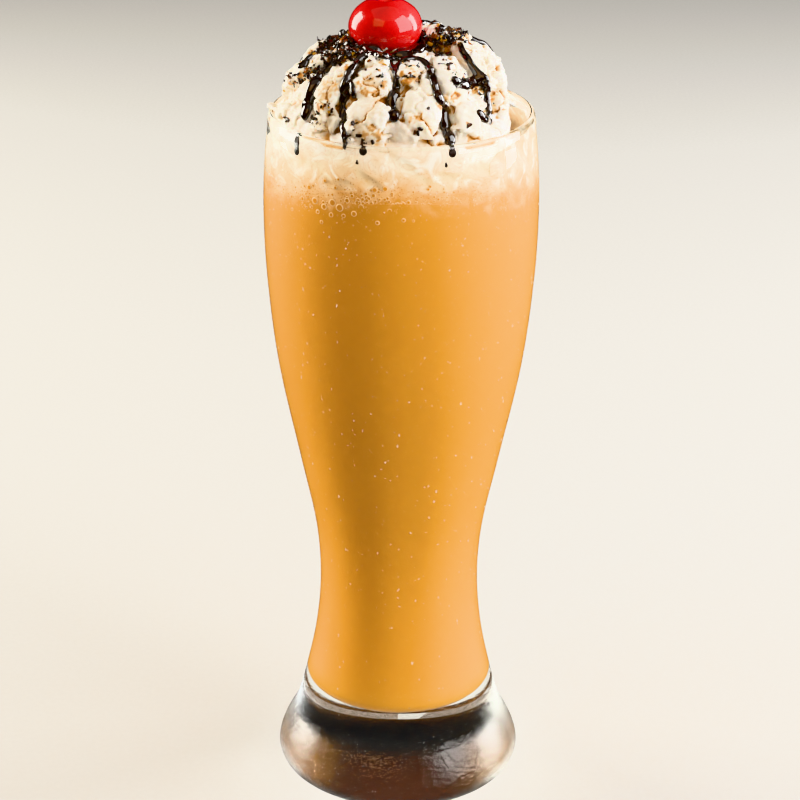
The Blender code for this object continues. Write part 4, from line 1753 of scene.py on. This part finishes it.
@dataclass
class Crumbs:
    """Chocolate crumbs and shavings, in clusters as shown and thinly over the rest."""

    surface: Surface
    clusters: tuple[Cluster, ...] = (
        Cluster((339, 40), (9, 6), 96, 1.3, 0.3, 0.08),
        Cluster((345, 53), (9, 6), 90, 1.1, 0.2),
        Cluster((325, 52), (8, 5), 50, 1.0, 0.2),
        Cluster((322, 66), (7, 5), 22, 0.9),
        Cluster((306, 73), (6, 3), 20, 0.9, 0.2),
        Cluster((294, 80), (6, 3), 24, 0.9, 0.3, 0.15),
        Cluster((276, 90), (4, 4), 9, 0.9, 0.2, 0.7),
        Cluster((452, 33), (10, 5), 96, 1.3, 0.3, 0.1),
        Cluster((434, 42), (8, 4), 60, 1.0, 0.2),
        Cluster((465, 38), (5, 4), 16, 0.9, 0.2),
        Cluster((441, 54), (5, 5), 14, 1.1),
        Cluster((446, 66), (4, 5), 10, 1.1),
        Cluster((379, 57), (6, 4), 8, 0.9),
        Cluster((378, 70), (8, 3), 8, 0.8),
        Cluster((372, 84), (8, 6), 6, 0.8),
        Cluster((412, 66), (8, 4), 9, 0.8),
        Cluster((411, 77), (8, 2), 18, 0.7),
        Cluster((315, 120), (3, 6), 16, 0.8, 0.15),
        Cluster((330, 108), (5, 3), 14, 0.8),
        Cluster((350, 130), (4, 6), 8, 0.9),
        Cluster((366, 143), (7, 2), 8, 0.8),
        Cluster((428, 107), (1, 1), 2, 1.3),
        Cluster((419, 132), (2, 3), 4, 1.0),
        Cluster((468, 124), (1, 1), 2, 1.2),
        Cluster((286, 119), (2, 2), 3, 1.0),
        Cluster((462, 82), (7, 6), 14, 0.9),
        Cluster((484, 96), (5, 12), 10, 0.8),
    )
    scattered: int = 240
    lowest_latitude: float = 10.0
    highest_latitude: float = 84.0
    turn_apart: float = 137.5
    back_start: float = 112.0
    back_end: float = 288.0
    front_share: float = 0.08
    seed: int = 11
    kinds: int = 7

    def chip(self, draw: random.Random) -> bpy.types.Mesh:
        """One broken chip with flat faces and sharp edges.

        Args:
            draw: The seeded draw.

        Returns:
            Its mesh, with a radius of about 1.
        """
        body = bmesh.new()
        bmesh.ops.create_cube(body, size=1.3)
        for vert in body.verts:
            vert.co += Vector([draw.uniform(-0.3, 0.3) for _ in range(3)])
        bmesh.ops.bevel(
            body,
            geom=body.edges,
            offset=0.24,
            segments=1,
            profile=0.5,
            affect="EDGES",
            material=-1,
        )
        bmesh.ops.recalc_face_normals(body, faces=body.faces)
        mesh = mesh_of(body, "chip")
        mesh.attributes.new("shade", "FLOAT", "FACE")
        return mesh

    def shaving(self, curl: float) -> bpy.types.Mesh:
        """One curled shaving of chocolate, with two narrowed ends.

        Args:
            curl: How far it is bent, in radians for each half.

        Returns:
            Its mesh, about 2 long.
        """
        body = bmesh.new()
        bmesh.ops.create_grid(body, x_segments=7, y_segments=1, size=1.0)
        for vert in body.verts:
            angle = vert.co.x * curl
            wide = 0.3 * (1 - 0.7 * vert.co.x**2)
            bend = Vector((math.sin(angle), vert.co.y * wide * curl, 1 - math.cos(angle)))
            vert.co = bend / curl
        bmesh.ops.solidify(body, geom=body.faces, thickness=0.16)
        bmesh.ops.recalc_face_normals(body, faces=body.faces)
        mesh = mesh_of(body, "shaving")
        mesh.attributes.new("shade", "FLOAT", "FACE")
        return mesh

    def places(self, draw: random.Random) -> Iterable[tuple[Spot | None, float, float, float]]:
        """Where the crumbs lie, with how large each is and the shares of curls and gold.

        Args:
            draw: The seeded draw.

        Yields:
            A point with its outward direction or nothing, a size and two shares.
        """
        for cluster in self.clusters:
            for _ in range(cluster.count):
                across = draw.gauss(cluster.place[0], cluster.spread[0])
                down = draw.gauss(cluster.place[1], cluster.spread[1])
                size = cluster.size * draw.uniform(0.4, 1.0) * draw.choice((1.0, 1.0, 1.5))
                yield self.surface.seen(across, down), size, cluster.curled, cluster.gold
        for index in range(self.scattered):
            share = (index + 0.5) / self.scattered
            fall = (self.highest_latitude - self.lowest_latitude) * share**1.4
            azimuth = (self.turn_apart * index + draw.uniform(-20, 20)) % 360
            if self.back_start < azimuth < self.back_end or draw.random() < self.front_share:
                size = draw.uniform(0.3, 0.8)
                yield self.surface.at(azimuth, self.highest_latitude - fall), size, 0.15, 0.04

    def build(self) -> bpy.types.Object:
        """Makes all the crumbs as one piece, each with its own shade.

        Returns:
            The piece.
        """
        draw = random.Random(self.seed)
        chips = [self.chip(draw) for _ in range(self.kinds)]
        shavings = [self.shaving(curl) for curl in (0.6, 1.1, 1.7)]
        body = bmesh.new()
        body.faces.layers.float.new("shade")
        for found, size, curled, gold in self.places(draw):
            if not found:
                continue
            point, normal = found
            tone = 0.97 if draw.random() < gold else 0.92 * draw.random() ** 1.5
            lean, turn = draw.uniform(-0.6, 0.6), draw.uniform(0, 2 * math.pi)
            if draw.random() < curled:
                scale = draw.uniform(0.7, 1.9)
                place = standing(point + normal * 0.25, normal, turn, lean)
                add_copy(body, draw.choice(shavings), place @ Matrix.Scale(scale, 4), tone)
                continue
            flat = Matrix.Diagonal((size, size * draw.uniform(0.5, 0.9), size * 0.5, 1))
            place = standing(point + normal * 0.2 * size, normal, turn, lean)
            add_copy(body, draw.choice(chips), place @ flat, tone)
        piece = joined(body, "chocolate_crumbs", Stock.CRUMB, smooth=False, recalculate=False)
        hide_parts("whipped_cream")
        return piece


@dataclass
class Cherry:
    """The cherry: a slightly flattened ball with the hollow of its stem on top."""

    centre: Vector = field(default_factory=lambda: Vector((-5.3, 0.0, 261.8)))
    radius: float = 11.7
    half_height: float = 9.3
    dimple_depth: float = 2.2
    dimple_radius: float = 2.3
    unevenness: float = 0.12

    def build(self) -> bpy.types.Object:
        """Makes the cherry.

        Returns:
            The piece.
        """
        body = bmesh.new()
        bmesh.ops.create_uvsphere(body, u_segments=96, v_segments=64, radius=1.0)
        for vert in body.verts:
            reach = math.hypot(vert.co.x, vert.co.y) * self.radius
            dimple = self.dimple_depth * math.exp(-((reach / self.dimple_radius) ** 2))
            sink = dimple if vert.co.z > 0 else 0.0
            swell = 1 - self.unevenness / self.radius * (1 + noise.noise(vert.co * 2.5))
            size = Vector((self.radius, self.radius, self.half_height)) * swell
            vert.co = Vector(a * b for a, b in zip(vert.co, size)) - Vector((0, 0, sink))
            vert.co += self.centre
        piece = joined(body, "cherry_flesh", Stock.CHERRY)
        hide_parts("cherry")
        return piece


@dataclass
class Bubbles:
    """Bubbles that lean on the inside of the glass, where the foam meets the drink.

    Each is a low dome with a pale rim that carries a painted highlight. The attribute rim is 0 at
    its middle and 1 at its edge.
    """

    glass: FootedGlass
    layers: Layers
    shown: tuple[tuple[float, float, float], ...] = (
        (317, 200, 1.5), (334, 202, 1.6), (341, 207, 1.7), (355, 213, 1.2), (326, 206, 1.3),
        (348, 200, 1.1), (311, 187, 1.2), (363, 207, 1.0), (372, 203, 0.9), (381, 205, 0.8),
        (305, 198, 1.0), (378, 222, 0.9), (324, 221, 0.8), (389, 208, 0.7), (345, 215, 0.9),
        (333, 214, 1.0), (320, 211, 0.9), (358, 202, 0.9), (398, 204, 0.7), (295, 196, 0.8),
    )
    shown_height: float = 215.0
    shown_share: float = 0.85
    sides: int = 12
    fine: int = 1500
    coarse_azimuth: float = -18.0
    coarse_width: float = 36.0
    sunk: int = 260
    sunk_depth: float = 30.0
    seed: int = 21

    def dome(self) -> bpy.types.Mesh:
        """One bubble's dome, and how near each point is to its rim.

        Returns:
            Its mesh, with a radius of 1.
        """
        outline = [(0.0, 0.12), (0.55, 0.1), (0.78, 0.12), (0.92, 0.02), (1.0, -0.15)]
        body = turned(outline, self.sides)
        rim = body.verts.layers.float.new("rim")
        for vert in body.verts:
            vert[rim] = math.hypot(vert.co.x, vert.co.y)
        bmesh.ops.recalc_face_normals(body, faces=body.faces)
        return mesh_of(body, "bubble")

    def on_wall(self, azimuth: float, height: float, size: float) -> Matrix:
        """The place of a bubble on the inner wall.

        Args:
            azimuth: From the front towards +X, in degrees.
            height: Above the table.
            size: Its radius.

        Returns:
            The matrix.
        """
        out = outward(math.radians(azimuth))
        point = out * (self.glass.inner(height) + self.layers.into_wall) + Vector((0, 0, height))
        return standing(point, out) @ Matrix.Scale(size, 4)

    def seen(self, across: float, down: float) -> Place:
        """Where the photographed view shows the inner wall at a place in its frame.

        Args:
            across: From the frame's left edge.
            down: From its top edge.

        Returns:
            The azimuth in degrees and the height.
        """
        view = self.layers.view
        way = view.way(across, down)
        radius = self.glass.inner(self.shown_height) * MM
        flat = Vector((way.x, way.y))
        start = Vector((view.eye.x, view.eye.y))
        half = start.dot(flat)
        root = half**2 - flat.length_squared * (start.length_squared - radius**2)
        reach = (-half - math.sqrt(max(root, 0.0))) / flat.length_squared
        point = (view.eye + way * reach) / MM
        return math.degrees(math.atan2(point.x, -point.y)), point.z

    def border(self, azimuth: float) -> float:
        """The height of the line between the drink and the foam, all round the wall."""
        lean = self.layers.drink_wave * math.cos(2 * math.radians(azimuth))
        return self.layers.drink_level + lean

    def build(self) -> bpy.types.Object:
        """Makes all the bubbles as one piece.

        Returns:
            The piece.
        """
        draw = random.Random(self.seed)
        dome = self.dome()
        body = bmesh.new()
        body.verts.layers.float.new("rim")
        for across, down, size in self.shown:
            place = self.on_wall(*self.seen(across, down), self.shown_share * size)
            add_copy(body, dome, place)
        for _ in range(self.fine):
            azimuth = draw.uniform(-180, 180)
            coarse = math.exp(-(((azimuth - self.coarse_azimuth) / self.coarse_width) ** 2))
            height = self.border(azimuth) + draw.gauss(0.6, 1.8 + 0.8 * coarse)
            size = draw.uniform(0.13, 0.28) + 0.85 * coarse * draw.random() ** 3
            add_copy(body, dome, self.on_wall(azimuth, height, size))
        for _ in range(self.sunk):
            azimuth = draw.uniform(-180, 180)
            height = self.border(azimuth) - self.sunk_depth * draw.random() ** 2
            add_copy(body, dome, self.on_wall(azimuth, height, draw.uniform(0.14, 0.3)))
        piece = joined(body, "foam_bubbles", Stock.BUBBLE, recalculate=False)
        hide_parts("foam")
        return piece


@dataclass
class Condensation:
    """Fine beads of water on the cold outside of the glass, more of them on the foot."""

    glass: FootedGlass
    count: int = 1500
    on_foot: int = 750
    lowest: float = 24.0
    highest: float = 224.0
    lowest_on_foot: float = 6.5
    foot_tilt: float = 0.4
    foot_share: float = 0.5
    smallest: float = 0.1
    largest: float = 0.3
    seed: int = 5

    def build(self) -> bpy.types.Object:
        """Makes all the beads as one piece.

        Returns:
            The piece.
        """
        draw = random.Random(self.seed)
        ball = bmesh.new()
        bmesh.ops.create_icosphere(ball, subdivisions=2, radius=1.0)
        bead = mesh_of(ball, "water_bead")
        body = bmesh.new()
        for index in range(self.count + self.on_foot):
            if index < self.count:
                height = self.lowest + (self.highest - self.lowest) * draw.random() ** 0.7
                radius, tilt, share = self.glass.outer(height), 0.0, 1.0
            else:
                height = draw.uniform(self.lowest_on_foot, self.lowest)
                radius, tilt, share = self.glass.flank(height), self.foot_tilt, self.foot_share
            turn = draw.uniform(0, 2 * math.pi)
            size = self.smallest + (self.largest - self.smallest) * draw.random() ** 3
            size *= share
            out = outward(turn, tilt).normalized()
            centre = outward(turn) * radius + Vector((0, 0, height))
            tall = size * draw.choice((1.0, 1.1, 1.3, 2.2))
            shape = standing(centre, out) @ Matrix.Diagonal((size, tall, size * 0.45, 1.0))
            add_copy(body, bead, shape)
        piece = joined(body, "condensed_beads", Stock.WATER, recalculate=False)
        piece.visible_shadow = False
        return piece


@dataclass(frozen=True)
class Lamp:
    """A soft lamp that points at the middle of the glass: angles in degrees, lengths in metres."""

    name: str
    azimuth: float
    elevation: float
    distance: float
    width: float
    height: float
    power: float
    colour: str = "#FFFFFF"

    def build(self) -> None:
        """Hangs the lamp."""
        data = bpy.data.lights.new(self.name, "AREA")
        data.shape = "RECTANGLE"
        data.size, data.size_y = self.width, self.height
        data.energy = self.power
        data.color = linear(self.colour)[:3]
        lamp = bpy.data.objects.new(self.name, data)
        bpy.context.scene.collection.objects.link(lamp)
        turn, lift = math.radians(self.azimuth), math.radians(self.elevation)
        way = outward(turn) * math.cos(lift) + Vector((0, 0, math.sin(lift)))
        lamp.location = Vector((0, 0, LAMPS_AIM)) + way * self.distance
        lamp.rotation_euler = way.to_track_quat("Z", "Y").to_euler()


@dataclass
class Studio:
    """The pale floor, the soft lamps and the camera at the photograph's angle."""

    view: View
    sensor: float = 36.0
    floor_size: float = 6.0
    lamps: tuple[Lamp, ...] = (
        Lamp("key", 67, 28, 1.3, 1.0, 1.3, 29),
        Lamp("right_side", 106, 15, 1.3, 0.5, 1.1, 32),
        Lamp("left_light", -112, 16, 1.3, 0.6, 1.0, 38, "#FFFBF0"),
        Lamp("front_fill", -25, 42, 1.5, 0.8, 0.8, 4.5, "#FFCF98"),
        Lamp("overhead", 0, 82, 1.5, 1.6, 1.6, 6, "#FFF4E6"),
    )
    sky: str = "#DDE2E8"
    sky_strength: float = 0.035

    def camera(self) -> None:
        """Sets the camera where the glass's outline says the photograph was taken from."""
        across, above, forward = self.view.axes()
        data = bpy.data.cameras.new("camera")
        data.sensor_width = self.sensor
        data.lens = self.view.focal / self.view.frame * self.sensor
        data.clip_start = 0.01
        camera = bpy.data.objects.new("camera", data)
        bpy.context.scene.collection.objects.link(camera)
        turn = Matrix((across, above, -forward)).transposed().to_4x4()
        camera.matrix_world = Matrix.Translation(self.view.eye) @ turn
        bpy.context.scene.camera = camera

    def build(self) -> None:
        """Sets the camera, the lamps, the sky and the floor."""
        self.camera()
        for lamp in self.lamps:
            lamp.build()
        world = bpy.data.worlds.new("studio air")
        bpy.context.scene.world = world
        world.use_nodes = True
        background = world.node_tree.nodes["Background"]
        background.inputs["Color"].default_value = linear(self.sky)
        background.inputs["Strength"].default_value = self.sky_strength
        body = bmesh.new()
        bmesh.ops.create_grid(body, x_segments=1, y_segments=1, size=self.floor_size / 2)
        mesh = mesh_of(body, "studio_floor")
        mesh.materials.append(Stock.FLOOR.material())
        floor = bpy.data.objects.new("studio_floor", mesh)
        bpy.context.scene.collection.objects.link(floor)
        floor.visible_glossy = False
        floor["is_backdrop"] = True
        bpy.context.scene.view_settings.view_transform = "Khronos PBR Neutral"


def write_sizes() -> None:
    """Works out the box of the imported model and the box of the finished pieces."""
    boxes = {
        name: [[float(value) for value in corner] for corner in box]
        for name, box in (("cad", CAD_BOX), ("visual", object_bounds()))
    }


def main() -> None:
    """Builds the studio and the pieces in order."""
    logging.basicConfig(level=logging.INFO, format="%(name)s: %(message)s")
    view = View()
    Studio(view).build()
    glass = FootedGlass()
    glass.build()
    layers = Layers(glass, view)
    layers.build_drink()
    layers.build_foam()
    layers.build_film()
    Bubbles(glass, layers).build()
    dome = Dome()
    cream = Cream(glass, layers, dome, view).build()
    cherry = Cherry()
    cherry.build()
    bare = Surface((cream,), dome, view)
    syrup = Syrup(bare, glass, cherry.centre).build()
    Crumbs(Surface((cream, syrup), dome, view)).build()
    Condensation(glass).build()
    write_sizes()


if __name__ == "__main__":
    main()
